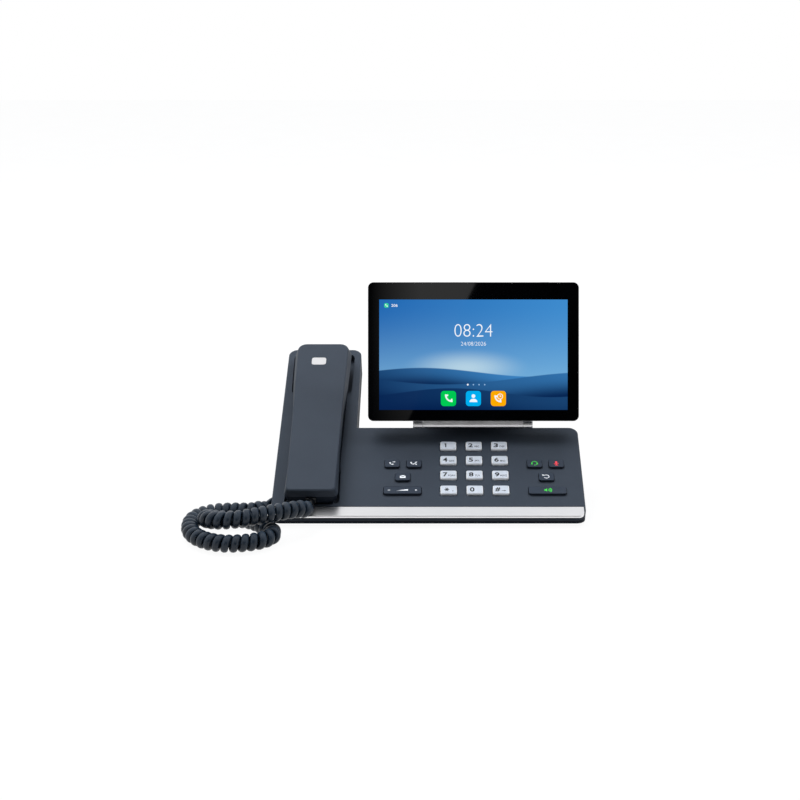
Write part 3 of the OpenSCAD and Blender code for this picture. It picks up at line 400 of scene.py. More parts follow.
def rounded_box(width, height, radius, middle=(0, 0), steps=8):
    """A rectangle with quarter circles of the radius at its corners."""
    quarter = np.linspace(0, math.pi / 2, steps)
    parts = []
    for k, (i, j) in enumerate(((1, 1), (-1, 1), (-1, -1), (1, -1))):
        a = quarter + k * math.pi / 2
        parts.append(np.column_stack([i * (width / 2 - radius) + radius * np.cos(a),
                                      j * (height / 2 - radius) + radius * np.sin(a)]))
    return np.vstack(parts) + middle


def disc(radius, middle=(0, 0), steps=28):
    """A circle as a closed outline."""
    a = np.linspace(0, 2 * math.pi, steps, endpoint=False)
    return np.column_stack([np.cos(a), np.sin(a)]) * radius + middle


def arc_band(radius, thickness, start, end, middle=(0, 0), steps=22):
    """A strip along a circle from one angle to another, in degrees: out along the outer edge and back along
    the inner."""
    a = np.radians(np.linspace(start, end, steps))
    ray = np.column_stack([np.cos(a), np.sin(a)])
    return np.vstack([ray * (radius + thickness / 2), ray[::-1] * (radius - thickness / 2)]) + middle


def stroke(start, end, thickness):
    """A straight bar of even thickness between two points."""
    a, b = np.array(start, float), np.array(end, float)
    along = (b - a) / np.linalg.norm(b - a)
    side = np.array((-along[1], along[0])) * thickness / 2
    return np.array([a - side, b - side, b + side, a + side])


def arrow_head(tip, heading, size):
    """A triangle whose tip points along a heading in degrees."""
    a = math.radians(heading)
    along, side = np.array((math.cos(a), math.sin(a))), np.array((-math.sin(a), math.cos(a)))
    tip = np.array(tip, float)
    spread = side * size * 0.62
    return np.array([tip, tip - along * size + spread, tip - along * size - spread])


def receiver(size, middle=(0, 0), steps=34):
    """A telephone receiver: a strip along 100 degrees of a circle of radius 1, low on its left. The inner
    edge runs at radius 0.79 and swells inwards by 0.25 at both ends. The whole is then centred and scaled."""
    s = np.linspace(-1, 1, steps)
    a = np.radians(225 + 50 * s)
    swell = smooth_step((np.abs(s) - 0.52) / 0.16)
    outer = np.column_stack([np.cos(a), np.sin(a)])
    inner = outer * (0.79 - 0.25 * swell)[:, None]
    return (np.vstack([outer, inner[::-1]]) + 0.52) * size * 0.78 + middle


def person(size, middle=(0, 0), steps=20):
    """A head over shoulders: a circle, and half an oval under it."""
    a = np.linspace(0, math.pi, steps)
    shoulders = np.column_stack([np.cos(a) * 0.42, np.sin(a) * 0.36 - 0.42]) * size
    return [disc(0.2 * size, (0, 0.22 * size)) + middle, shoulders + middle]


# ------------------------------------------------------------------ materials


def add(tree, kind, inputs=None, **settings):
    """Adds one node. Settings are its own; inputs are its sockets' values, or the nodes or sockets that
    feed them."""
    made = tree.nodes.new(kind)
    for name, value in settings.items():
        setattr(made, name, value)
    feed(tree, made, inputs or {})
    return made


def feed(tree, node, inputs):
    """Sets a node's sockets: a node feeds its first live output, and a colour gets its alpha."""
    for name, value in inputs.items():
        socket = node.inputs[name]
        if isinstance(value, bpy.types.Node):
            value = next(o for o in value.outputs if o.enabled)
        if isinstance(value, bpy.types.NodeSocket):
            tree.links.new(value, socket)
        else:
            full = socket.type == "RGBA" and len(value) == 3
            socket.default_value = (*value, 1) if full else value


def shade(colour, by):
    """A colour made lighter or darker by a factor."""
    return tuple(min(1.0, c * by) for c in colour[:3])


def bare_tree(holder):
    """The emptied node tree of a material or a world."""
    holder.use_nodes = True
    holder.node_tree.nodes.clear()
    return holder.node_tree


def new_material(name):
    """A material with its principled shader and the Object coordinates that its patterns read."""
    made = bpy.data.materials.new(name)
    tree = bare_tree(made)
    shader = add(tree, "ShaderNodeBsdfPrincipled")
    add(tree, "ShaderNodeOutputMaterial", {"Surface": shader})
    return made, tree, shader, add(tree, "ShaderNodeTexCoord").outputs["Object"]


def uneven(tree, place, lump_mm, low, high, detail=2.0):
    """A value that wanders between low and high in lumps of that size: noise, of which only the middle
    range is used."""
    lumps = add(tree, "ShaderNodeTexNoise",
                {"Vector": place, "Scale": 1 / (lump_mm * MM), "Detail": detail})
    return add(tree, "ShaderNodeMapRange",
               {"Value": lumps, "From Min": 0.3, "From Max": 0.7, "To Min": low, "To Max": high})


def relief(tree, height, strength, depth_mm, edge_mm):
    """A bump over edges that look rounded by edge_mm, as moulded and cast edges are."""
    rounded = add(tree, "ShaderNodeBevel", {"Radius": edge_mm * MM}, samples=6)
    return add(tree, "ShaderNodeBump", {"Height": height, "Strength": strength, "Distance": depth_mm * MM,
                                        "Normal": rounded})


def moulded(name, colour, rough=(0.42, 0.5), grain_mm=0.28, depth_mm=0.02, edge_mm=0.35, gloss=0.08,
            variation=0.05):
    """Injection-moulded plastic: the mould's spark-eroded grain breaks up the gloss, and handling leaves
    slow clouds of tone and smoother patches."""
    made, tree, shader, place = new_material(name)
    drift = add(tree, "ShaderNodeMix", {
        SHARE: uneven(tree, place, 38, 0, 1, 3),
        FROM: shade(colour, 1 - variation),
        TO: shade(colour, 1 + variation)}, data_type="RGBA")
    flecked = add(tree, "ShaderNodeMix", {
        SHARE: uneven(tree, place, grain_mm * 2.2, 0, 0.16, 1),
        FROM: drift,
        TO: shade(colour, 1.35)}, data_type="RGBA")
    feed(tree, shader, {
        "Base Color": flecked,
        "Roughness": uneven(tree, place, 30, *rough, 3),
        "Normal": relief(tree, uneven(tree, place, grain_mm, 0, 1), 0.35, depth_mm, edge_mm),
        "Specular IOR Level": gloss})
    return made


def dial_plastic(name, colour, rim_highlight):
    """Pale matt polycarbonate: the flat top keeps the key's tone, and the rounded edge is lighter, a painted
    highlight. The rim is where the surface turns away from the deck's own direction."""
    made, tree, shader, place = new_material(name)
    normal = add(tree, "ShaderNodeNewGeometry").outputs["Normal"]
    upward = add(tree, "ShaderNodeVectorMath", {0: normal, 1: (0, -math.sin(SLOPE), math.cos(SLOPE))},
                 operation="DOT_PRODUCT").outputs["Value"]
    top = add(tree, "ShaderNodeMapRange", {"Value": upward, "From Min": 0.93, "From Max": 0.995})
    face = add(tree, "ShaderNodeMix", {
        SHARE: uneven(tree, place, 5, 0, 1),
        FROM: shade(colour, 0.96),
        TO: shade(colour, 1.05)}, data_type="RGBA")
    feed(tree, shader, {
        # painted highlight: where the normal turns away from the deck, the colour goes to the lighter rim
        # colour
        "Base Color": add(tree, "ShaderNodeMix", {SHARE: top, FROM: rim_highlight, TO: face}, data_type="RGBA"),
        "Roughness": uneven(tree, place, 3, 0.3, 0.38),
        "Normal": relief(tree, uneven(tree, place, 0.25, 0, 1), 0.2, 0.008, 0.25),
        "Specular IOR Level": 0.4})
    return made


def brushed_metal(name, colour, rough):
    """Brushed and anodised aluminium: fine lines along X, made by noise stretched a hundredfold, draw the
    highlight out across them. Its edges carry a painted highlight: the colour turns white where a rounding of
    edge_mm turns the normal away from the flat face's own."""
    edge_mm = 0.9
    made, tree, shader, place = new_material(name)
    stretched = add(tree, "ShaderNodeMapping", {"Vector": place, "Scale": (0.01, 1, 1)})
    line = uneven(tree, stretched, 0.12, 0, 1, 3)
    face = add(tree, "ShaderNodeMix", {
        SHARE: line,
        FROM: shade(colour, 0.93),
        TO: shade(colour, 1.01)}, data_type="RGBA")
    turned = add(tree, "ShaderNodeVectorMath", {
        0: add(tree, "ShaderNodeBevel", {"Radius": edge_mm * MM}, samples=8),
        1: add(tree, "ShaderNodeNewGeometry").outputs["Normal"]}, operation="DOT_PRODUCT").outputs["Value"]
    # painted highlight: the colour goes white along the rounded edges
    edge_highlight = add(tree, "ShaderNodeMapRange", {"Value": turned, "From Min": 0.99, "From Max": 0.93})
    feed(tree, shader, {
        "Base Color": add(tree, "ShaderNodeMix", {SHARE: edge_highlight, FROM: face, TO: (1, 1, 1)},
                          data_type="RGBA"),
        "Roughness": uneven(tree, place, 22, *rough),
        "Normal": relief(tree, line, 0.25, 0.006, 0.2),
        "Metallic": 1.0})
    return made


def satin_metal(name, colour, rough, grain_mm=0.2):
    """Bead-blasted or plated metal: a round fine grain and cloudy gloss, with no direction of its own."""
    made, tree, shader, place = new_material(name)
    cloud = uneven(tree, place, 12, 0, 1, 3)
    feed(tree, shader, {
        "Base Color": add(tree, "ShaderNodeMix", {
            SHARE: cloud,
            FROM: shade(colour, 0.96),
            TO: shade(colour, 1.03)}, data_type="RGBA"),
        "Roughness": uneven(tree, place, 12, *rough, 3),
        "Normal": relief(tree, uneven(tree, place, grain_mm, 0, 1), 0.3, 0.01, 0.25),
        "Metallic": 1.0})
    return made


def solder_mask(name, colour):
    """Circuit board: green lacquer that stands a little over square-set copper tracks, drawn 2.2 mm apart,
    which is coarser than real ones, so that they show."""
    made, tree, shader, place = new_material(name)
    cells = add(tree, "ShaderNodeTexVoronoi", {"Vector": place, "Scale": 1 / (2.2 * MM)},
                distance="MANHATTAN")
    track = add(tree, "ShaderNodeMapRange", {"Value": cells, "From Min": 0.42, "From Max": 0.46})
    feed(tree, shader, {
        "Base Color": add(tree, "ShaderNodeMix", {SHARE: track, FROM: colour, TO: shade(colour, 1.7)},
                          data_type="RGBA"),
        "Roughness": uneven(tree, place, 6, 0.3, 0.42),
        "Normal": relief(tree, track, 0.4, 0.03, 0.1)})
    return made


def black_glass(name):
    """Polished cover glass with an even black print behind it: near-black, and as good as a mirror."""
    made, tree, shader, place = new_material(name)
    feed(tree, shader, {
        "Base Color": add(tree, "ShaderNodeMix", {
            SHARE: uneven(tree, place, 60, 0, 1, 1),
            FROM: hex_colour("#030406"),
            TO: hex_colour("#06070a")}, data_type="RGBA"),
        "Roughness": uneven(tree, place, 60, 0.02, 0.035, 1),
        "Specular IOR Level": 0.36})
    return made


def print_ink(name, colour, glow=0.0):
    """Screen-printed ink: a thin matt layer with a slightly uneven tone; glow is for symbols lit from
    behind, and gives the status window a painted glow."""
    made, tree, shader, place = new_material(name)
    tone = add(tree, "ShaderNodeMix", {
        SHARE: uneven(tree, place, 0.9, 0, 1),
        FROM: shade(colour, 0.93),
        TO: shade(colour, 1.06)}, data_type="RGBA")
    feed(tree, shader, {"Base Color": tone, "Roughness": uneven(tree, place, 1.5, 0.5, 0.62)})
    if glow:
        feed(tree, shader, {"Emission Color": tone, "Emission Strength": glow})
    return made


def lit(name, colour, lighter):
    """A lit area of the screen: light of its own that outshines the glass's gloss. Its tone wanders from
    just under the colour to lighter times it."""
    made, tree, shader, place = new_material(name)
    tone = add(tree, "ShaderNodeMix", {
        SHARE: uneven(tree, place, 4, 0, 1, 1),
        FROM: shade(colour, 0.97),
        TO: shade(colour, lighter)}, data_type="RGBA")
    feed(tree, shader, {"Emission Color": tone, **LIT_SURFACE})
    return made


def wave_picture(name, colours):
    """The screen's picture, on its own UV map: a sky that lightens downwards, a flat oval glow over the
    waves, and three rolling waves. A wave covers what lies under level + height * sine(turns * x + phase).
    Its crest lightens towards the right, and it sinks to deep blue within a depth of sinking."""
    sky_power = 1.7
    glow_middle, glow_squeeze, glow_reach, glow_share = (0.46, 0.38, 0), (1.4, 2.6, 0), 0.5, 0.6
    wave_edge = 0.008
    made, tree, shader, _ = new_material(name)
    uv = add(tree, "ShaderNodeUVMap", uv_map="picture")
    split = add(tree, "ShaderNodeSeparateXYZ", {0: uv})
    x, y = split.outputs[0], split.outputs[1]
    fall = add(tree, "ShaderNodeMath", {0: 1.0, 1: y}, operation="SUBTRACT", use_clamp=True)
    low = add(tree, "ShaderNodeMath", {0: fall, 1: sky_power}, operation="POWER")
    high = add(tree, "ShaderNodeMix", {
        SHARE: x,
        FROM: colours.sky_high,
        TO: hex_colour("#3e8bce")}, data_type="RGBA")
    sky = add(tree, "ShaderNodeMix", {SHARE: low, FROM: high, TO: colours.sky_low}, data_type="RGBA")
    middle = add(tree, "ShaderNodeVectorMath", {0: uv, 1: glow_middle}, operation="SUBTRACT")
    drawn = add(tree, "ShaderNodeVectorMath", {0: middle, 1: glow_squeeze}, operation="MULTIPLY")
    reach = add(tree, "ShaderNodeVectorMath", {0: drawn}, operation="LENGTH").outputs["Value"]
    glow = add(tree, "ShaderNodeMapRange", {"Value": reach, "From Min": glow_reach, "From Max": 0.0,
                                            "To Min": 0.0, "To Max": glow_share},
               interpolation_type="SMOOTHSTEP")
    tone = add(tree, "ShaderNodeMix", {SHARE: glow, FROM: sky, TO: hex_colour("#d6ecf0")},
               data_type="RGBA")
    for level, height, turns, phase, sinking, light in WAVES:
        angle = add(tree, "ShaderNodeMath", {0: x, 1: turns, 2: phase}, operation="MULTIPLY_ADD")
        sine = add(tree, "ShaderNodeMath", {0: angle}, operation="SINE")
        crest = add(tree, "ShaderNodeMath", {0: sine, 1: height, 2: level}, operation="MULTIPLY_ADD")
        depth = add(tree, "ShaderNodeMath", {0: crest, 1: y}, operation="SUBTRACT")
        cover = add(tree, "ShaderNodeMapRange", {"Value": depth, "From Min": 0.0, "From Max": wave_edge})
        sink = add(tree, "ShaderNodeMapRange", {"Value": depth, "From Min": 0.0, "From Max": sinking},
                   interpolation_type="SMOOTHERSTEP")
        across = add(tree, "ShaderNodeMapRange", {"Value": x, "To Min": light * 0.3, "To Max": light * 1.5})
        edge = add(tree, "ShaderNodeMix", {SHARE: across, FROM: colours.wave_near, TO: colours.wave_far},
                   data_type="RGBA")
        wave = add(tree, "ShaderNodeMix", {SHARE: sink, FROM: edge, TO: colours.wave_near},
                   data_type="RGBA")
        tone = add(tree, "ShaderNodeMix", {SHARE: cover, FROM: tone, TO: wave}, data_type="RGBA")
    feed(tree, shader, {"Emission Color": tone, **LIT_SURFACE})
    return made


def cord_vinyl(name, colour):
    """Soft PVC jacket: a satin skin with a faint grain, paler and duller in patches."""
    made, tree, shader, place = new_material(name)
    feed(tree, shader, {
        "Base Color": add(tree, "ShaderNodeMix", {
            SHARE: uneven(tree, place, 9, 0, 1, 3),
            FROM: shade(colour, 0.85),
            TO: shade(colour, 1.2)}, data_type="RGBA"),
        "Roughness": uneven(tree, place, 9, 0.3, 0.42, 3),
        "Normal": relief(tree, uneven(tree, place, 0.35, 0, 1), 0.25, 0.015, 0.2),
        "Specular IOR Level": 0.36})
    return made


def frame_finishes(colours):
    """The finish of each of the record's material slots."""
    # the second colour is painted shade: the slate plastic again, made darker
    slate, dark = tuple(colours.slate), tuple(colours.slate_shaded)
    return {
        "housing": moulded("Housing - satin moulded ABS, slate", slate),
        # painted shade: these two finishes are the slate plastic in its darkened, shaded copy
        "housing_dark": moulded("Base and stand - matt moulded ABS, slate with painted shade", dark, (0.5, 0.6),
                                gloss=0.06),
        "handset_back": moulded("Handset back - matt moulded ABS, slate with painted shade", dark, (0.48, 0.58),
                                gloss=0.06),
        "trim": brushed_metal("Trim strip - brushed anodised aluminium", tuple(colours.silver),
                              (0.3, 0.38)),
        "hinge_metal": satin_metal("Hinge arm - satin aluminium", tuple(colours.hinge), (0.34, 0.42)),
        "feet": moulded("Feet - black rubber", hex_colour("#17181a"), (0.7, 0.85), grain_mm=0.4,
                        depth_mm=0.03, edge_mm=0.4, gloss=0.25, variation=0.12),
        "steel": satin_metal("Screws - zinc-plated steel", hex_colour("#a9abb0"), (0.24, 0.4)),
        "membrane": moulded("Key mat - grey silicone", hex_colour("#33363b"), (0.6, 0.75), grain_mm=0.5,
                            edge_mm=0.4, gloss=0.25),
        "board": solder_mask("Boards - green solder mask", hex_colour("#0d4a2b")),
        "driver": moulded("Loudspeakers - treated paper and steel", hex_colour("#101113"), (0.55, 0.75)),
        "dial_keys": dial_plastic("Dial keys - matt polycarbonate, pale grey", tuple(colours.key),
                                  tuple(colours.key_rim_highlight)),
        "soft_keys": moulded("Function keys - satin ABS, slate", tuple(colours.soft_key), (0.34, 0.42),
                             edge_mm=0.3),
        "sockets": moulded("Sockets - black PBT", hex_colour("#0c0d0f"), (0.3, 0.42), grain_mm=0.4),
        "screen_frame": moulded("Screen frame - black lacquered ABS", hex_colour("#06070a"), (0.2, 0.28),
                                grain_mm=0.4, depth_mm=0.006, edge_mm=0.5, gloss=0.4),
        "screen_glass": black_glass("Cover glass - polished, black print"),
        "display": satin_metal("Display panel - zinc-plated steel tray", hex_colour("#85888d"), (0.35, 0.5)),
        # painted glow: the grey status window gives faint light of its own, standing in for the highlight on
        # it
        "light": print_ink("Status light - frosted polycarbonate", hex_colour("#9aa0a8"), 0.15),
        "cord": cord_vinyl("Curly cord - soft PVC, slate black", tuple(colours.cord)),
        "plug": moulded("Plugs - smoked polycarbonate", hex_colour("#15181d"), (0.16, 0.24), grain_mm=0.5,
                        depth_mm=0.004, edge_mm=0.3, gloss=0.5),
    }


# ------------------------------------------------------------------ curly cord


def smooth_line(points, steps):
    """Uniform Catmull-Rom curve with its ends repeated:
    half of (2b + (c - a) t + (2a - 5b + 4c - d) t^2 + (-a + 3b - 3c + d) t^3)."""
    padded = np.vstack([points[:1], points, points[-1:]])
    a, b, c, d = (padded[k:len(points) - 1 + k, None] for k in range(4))
    t = np.linspace(0, 1, steps, endpoint=False)[None, :, None]
    line = 0.5 * (2 * b + (c - a) * t + (2 * a - 5 * b + 4 * c - d) * t ** 2
                  + (-a + 3 * b - 3 * c + d) * t ** 3)
    return np.vstack([line.reshape(-1, 3), points[-1:]])


def unit(vectors):
    """Each vector over its own length."""
    return vectors / np.linalg.norm(vectors, axis=-1, keepdims=True)


def coiled_wire(points, coil, pitch, ramp, samples):
    """The wire's own centreline: a circle of radius coil * opening turns about the route, one turn every
    pitch. The opening rises from 0 to 1 over ramp after the cord's straight head, and falls back before its
    straight tail. Returns the line, the ray from the route to it, and the opening."""
    line = smooth_line(points, ROUTE_STEPS)
    run = np.concatenate([[0], np.cumsum(np.linalg.norm(np.diff(line, axis=0), axis=1))])
    s = np.linspace(0, run[-1], samples)
    centre = np.column_stack([np.interp(s, run, line[:, k]) for k in range(3)])
    along = unit(np.gradient(centre, axis=0))
    side = unit(np.cross(along, (0, 0, 1)))
    up = np.cross(side, along)
    opening = smooth_step(np.minimum(s - CORD_HEAD, run[-1] - s - CORD_TAIL) / ramp)
    turning = np.cumsum(np.where(opening > 0, 1.0, 0.0)) * (s[1] - s[0])
    phase = (2 * math.pi * turning / pitch)[:, None]
    ray = np.cos(phase) * side + np.sin(phase) * up
    return centre + coil * opening[:, None] * ray, ray, opening[:, None, None]


def tube(line, ray, thick, wide, sides):
    """An oval skin carried along a line: each ring is thick * cos * e1 + wide * sin * e2 about its point,
    where e1 is the ray made square to the line and e2 is square to both. A lid closes each end."""
    along = unit(np.gradient(line, axis=0))
    first = unit(ray - np.sum(ray * along, axis=1, keepdims=True) * along)
    second = np.cross(along, first)
    a = np.linspace(0, 2 * math.pi, sides, endpoint=False)[None, :, None]
    rings = line[:, None] + thick * np.cos(a) * first[:, None] + wide * np.sin(a) * second[:, None]
    rows = len(line)
    faces = [*grid_faces(rows, sides), np.arange(sides)[::-1], np.arange(sides) + (rows - 1) * sides]
    return rings.reshape(-1, 3), faces


# ------------------------------------------------------------------ pieces


class PHONE_OT_camera(bpy.types.Operator):
    """Sets the camera straight ahead of the phone, eighteen degrees above the table"""

    bl_idname = "phone.camera"
    bl_label = "Camera"

    def execute(self, context):
        data = bpy.data.cameras.new("camera")
        data.sensor_width = CAMERA_SENSOR
        data.lens = CAMERA_LENS
        data.shift_x, data.shift_y = CAMERA_SHIFT
        data.clip_start, data.clip_end = CAMERA_CLIP
        made = bpy.data.objects.new("camera", data)
        made.location = CAMERA_PLACE
        made.rotation_euler = (math.radians(90) - CAMERA_ELEVATION, 0, 0)
        context.scene.collection.objects.link(made)
        context.scene.camera = made
        context.scene.view_settings.view_transform = "Standard"
        return {"FINISHED"}


class PHONE_OT_cord(bpy.types.Operator):
    """Winds the curly cord from the handset to the socket in the phone's side"""

    bl_idname = "phone.cord"
    bl_label = "Curly cord"

    def execute(self, context):
        sizes, colours = context.scene.phone_sizes, context.scene.phone_colours
        wire, ray, opening = coiled_wire(on_table(CORD_ROUTE), sizes.coil, sizes.pitch, sizes.ramp,
                                         CORD_SAMPLES)
        wide = (sizes.wire + (sizes.wire_width - sizes.wire) * opening) / 2
        vertices, faces = tube(wire, ray, sizes.wire / 2, wide, CORD_SIDES)
        vinyl = cord_vinyl("Curly cord - soft PVC jacket", tuple(colours.cord))
        made = new_piece("curly_cord", vertices, faces, vinyl, smooth=True)
        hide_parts("cord")
        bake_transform(made)
        return {"FINISHED"}


class PHONE_OT_finishes(bpy.types.Operator):
    """Gives every part of the frame the finish of its material slot, but the hinge lugs and caps a satin
    silver lacquer
    """

    bl_idname = "phone.finishes"
    bl_label = "Finishes"

    def execute(self, context):
        colours = context.scene.phone_colours
        finishes = frame_finishes(colours)
        lacquered = satin_metal("Hinge lugs - satin silver lacquer", tuple(colours.hinge), (0.36, 0.44))
        own = {"hinge_lugs": lacquered, "hinge_caps": lacquered}
        for part in frame["record"]["subparts"]:
            finish = own.get(part["node"], finishes[part["material_slot"]])
            for holder in frame["nodes"][part["node"]].material_slots:
                holder.link = "OBJECT"
                holder.material = finish
        return {"FINISHED"}


class PHONE_OT_dial_print(bpy.types.Operator):
    """Prints the digits and letters on the twelve dial keys"""

    bl_idname = "phone.dial_print"
    bl_label = "Dial key print"

    def execute(self, context):
        sizes, colours = context.scene.phone_sizes, context.scene.phone_colours
        black = print_ink("Dial digits - black ink", tuple(colours.ink))
        grey = print_ink("Dial letters - grey ink", tuple(colours.letters))
        for row, v in enumerate(DIAL_Y):
            for column, u in enumerate(DIAL_X):
                node = DIAL_NODES[row][column]
                letters = DIAL_LETTERS[row][column]
                body = "press_" + node
                digit = DIAL_DIGITS[row][column]
                shared = bool(letters) or digit == "#"
                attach(dial_digit(node + "_digit", digit, shared, u, v, black, sizes), body)
                if letters:
                    width = (LETTER_PITCH * len(letters) + LETTER_MARGIN) * MM
                    place = slope_face(u + LETTERS_ASIDE, v, KEY_TOP)
                    made = lettering(node + "_letters", letters, place, sizes.letters, grey, sizes.ink,
                                     LETTERS_WEIGHT, width, base=-sizes.digit / 2)
                    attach(made, body)
        # a full stop beside the star, and an arrow beside the hash, both low on their keys
        place = slope_face(DIAL_X[0] + 3.3 * MM, DIAL_Y[3] - 1.6 * MM, KEY_TOP)
        dot = plates("key_star_dot", [disc(0.42)], place, black, sizes.ink)
        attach(dot, "press_key_star")
        place = slope_face(DIAL_X[2] + 0.4 * MM, DIAL_Y[3] - 1.3 * MM, KEY_TOP)
        send = [stroke((0.2, 0), (2.4, 0), 0.45), arrow_head((3.5, 0), 0, 1.3)]
        made = plates("key_hash_arrow", send, place, grey, sizes.ink)
        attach(made, "press_key_hash")
        return {"FINISHED"}


def dial_digit(name, digit, shared, u, v, ink, sizes):
    """A dial key's digit. The star and the 1 are drawn, and the others are set in type."""
    if digit == "*":
        star = [spoke(1.9, turn, 0.75) for turn in (0, 60, 120)]
        return plates(name, star, slope_face(u - STAR_ASIDE, v, KEY_TOP), ink, sizes.ink)
    face = slope_face(u + (SHARED_ASIDE if shared else LONE_ASIDE), v, KEY_TOP)
    if digit == "1":
        return plates(name, [figure_one(sizes.digit / MM)], face, ink, sizes.ink)
    width, slant = (HASH_WIDTH, 0.15) if digit == "#" else (DIGIT_WIDTH, 0.0)
    return lettering(name, digit, face, sizes.digit, ink, sizes.ink, DIGIT_WEIGHT, width, slant,
                     -sizes.digit / 2)


def spoke(reach, turn, thickness):
    """A bar through the middle that reaches as far both ways, at a turn in degrees."""
    a = np.radians(turn)
    tip = np.array((reach * math.cos(a), reach * math.sin(a)))
    return stroke(-tip, tip, thickness)


def figure_one(height):
    """The digit 1 as an outline: an upright bar with a slanting flag at its head."""
    return np.array([(-0.1, -0.5), (0.1, -0.5), (0.1, 0.5), (-0.04, 0.5), (-0.26, 0.36), (-0.26, 0.2),
                     (-0.1, 0.29)]) * height


def function_symbols():
    """The symbol of each function key, as outlines in millimetres about its middle."""
    waves = [arc_band(radius, 0.55, -42, 42, (-0.6, 0)) for radius in (1.9, 2.9, 3.9)]
    cone = np.array([(-2.6, -0.7), (-1.7, -0.7), (-0.3, -1.9), (-0.3, 1.9), (-1.7, 0.7), (-2.6, 0.7)])
    return {
        "transfer": [receiver(4.0, (-0.9, -0.5)), stroke((0.2, 1.9), (1.5, 1.9), 0.55),
                     arrow_head((2.6, 1.9), 0, 1.3)],
        "conference": [receiver(3.9, (-1.5, -0.2)), stroke((0.6, 0.2), (1.7, 1.4), 0.55),
                       stroke((0.6, -0.2), (1.7, -1.4), 0.55), arrow_head((2.5, 2.2), 47, 1.3),
                       arrow_head((2.5, -2.2), -47, 1.3)],
        "message": [np.array([(-2.3, -1.9), (2.3, -1.9), (2.3, 1.0), (0, -0.65), (-2.3, 1.0)]),
                    np.array([(-2.1, 1.75), (0, 0.15), (2.1, 1.75)])],
        "headset": [arc_band(2.2, 0.5, 0, 180, (0, 0.2)), rounded_box(1.0, 1.9, 0.4, (-2.1, -0.6)),
                    rounded_box(1.0, 1.9, 0.4, (2.1, -0.6)), arc_band(2.2, 0.4, 275, 335, (0, -0.3)),
                    disc(0.45, (0.1, -2.5))],
        "mute": [rounded_box(1.7, 3.4, 0.84, (0, 0.95)), arc_band(1.65, 0.5, 185, 355, (0, 0.2)),
                 stroke((0, -1.4), (0, -2.7), 0.6), stroke((-1.1, -2.8), (1.1, -2.8), 0.5)],
        "redial": [arc_band(2.1, 0.6, -150, 140, (0, 0)), arrow_head((-2.9, 0.9), -110, 1.7)],
        "speaker": [cone, *waves],
        "volume": [stroke((-11.6, 0), (-9.8, 0), 0.55), np.array([(-4.6, -0.75), (4.4, -0.75), (4.4, 1.3)]),
                   stroke((9.8, 0), (11.6, 0), 0.55), stroke((10.7, -0.9), (10.7, 0.9), 0.55)],
    }


class PHONE_OT_symbols(bpy.types.Operator):
    """Prints a symbol on each function key"""

    bl_idname = "phone.symbols"
    bl_label = "Function key symbols"

    def execute(self, context):
        sizes, colours = context.scene.phone_sizes, context.scene.phone_colours
        white = print_ink("Function symbols - white ink", tuple(colours.white), 0.1)
        green = print_ink("Function symbols - green ink", tuple(colours.green), 0.35)
        red = print_ink("Function symbols - red ink", tuple(colours.red), 0.35)
        inks = {"headset": green, "speaker": green, "mute": red}
        for name, shapes in function_symbols().items():
            u, v = SOFT_PLACES[name]
            tilt = LONG_TILT if name in ("speaker", "volume") else SOFT_TILT
            face = slope_face(u * MM, v * MM, SOFT_TOP, tilt)
            made = plates(name + "_symbol", shapes, face, inks.get(name, white), sizes.ink)
            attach(made, "volume_key" if name == "volume" else "press_" + name + "_key")
        return {"FINISHED"}


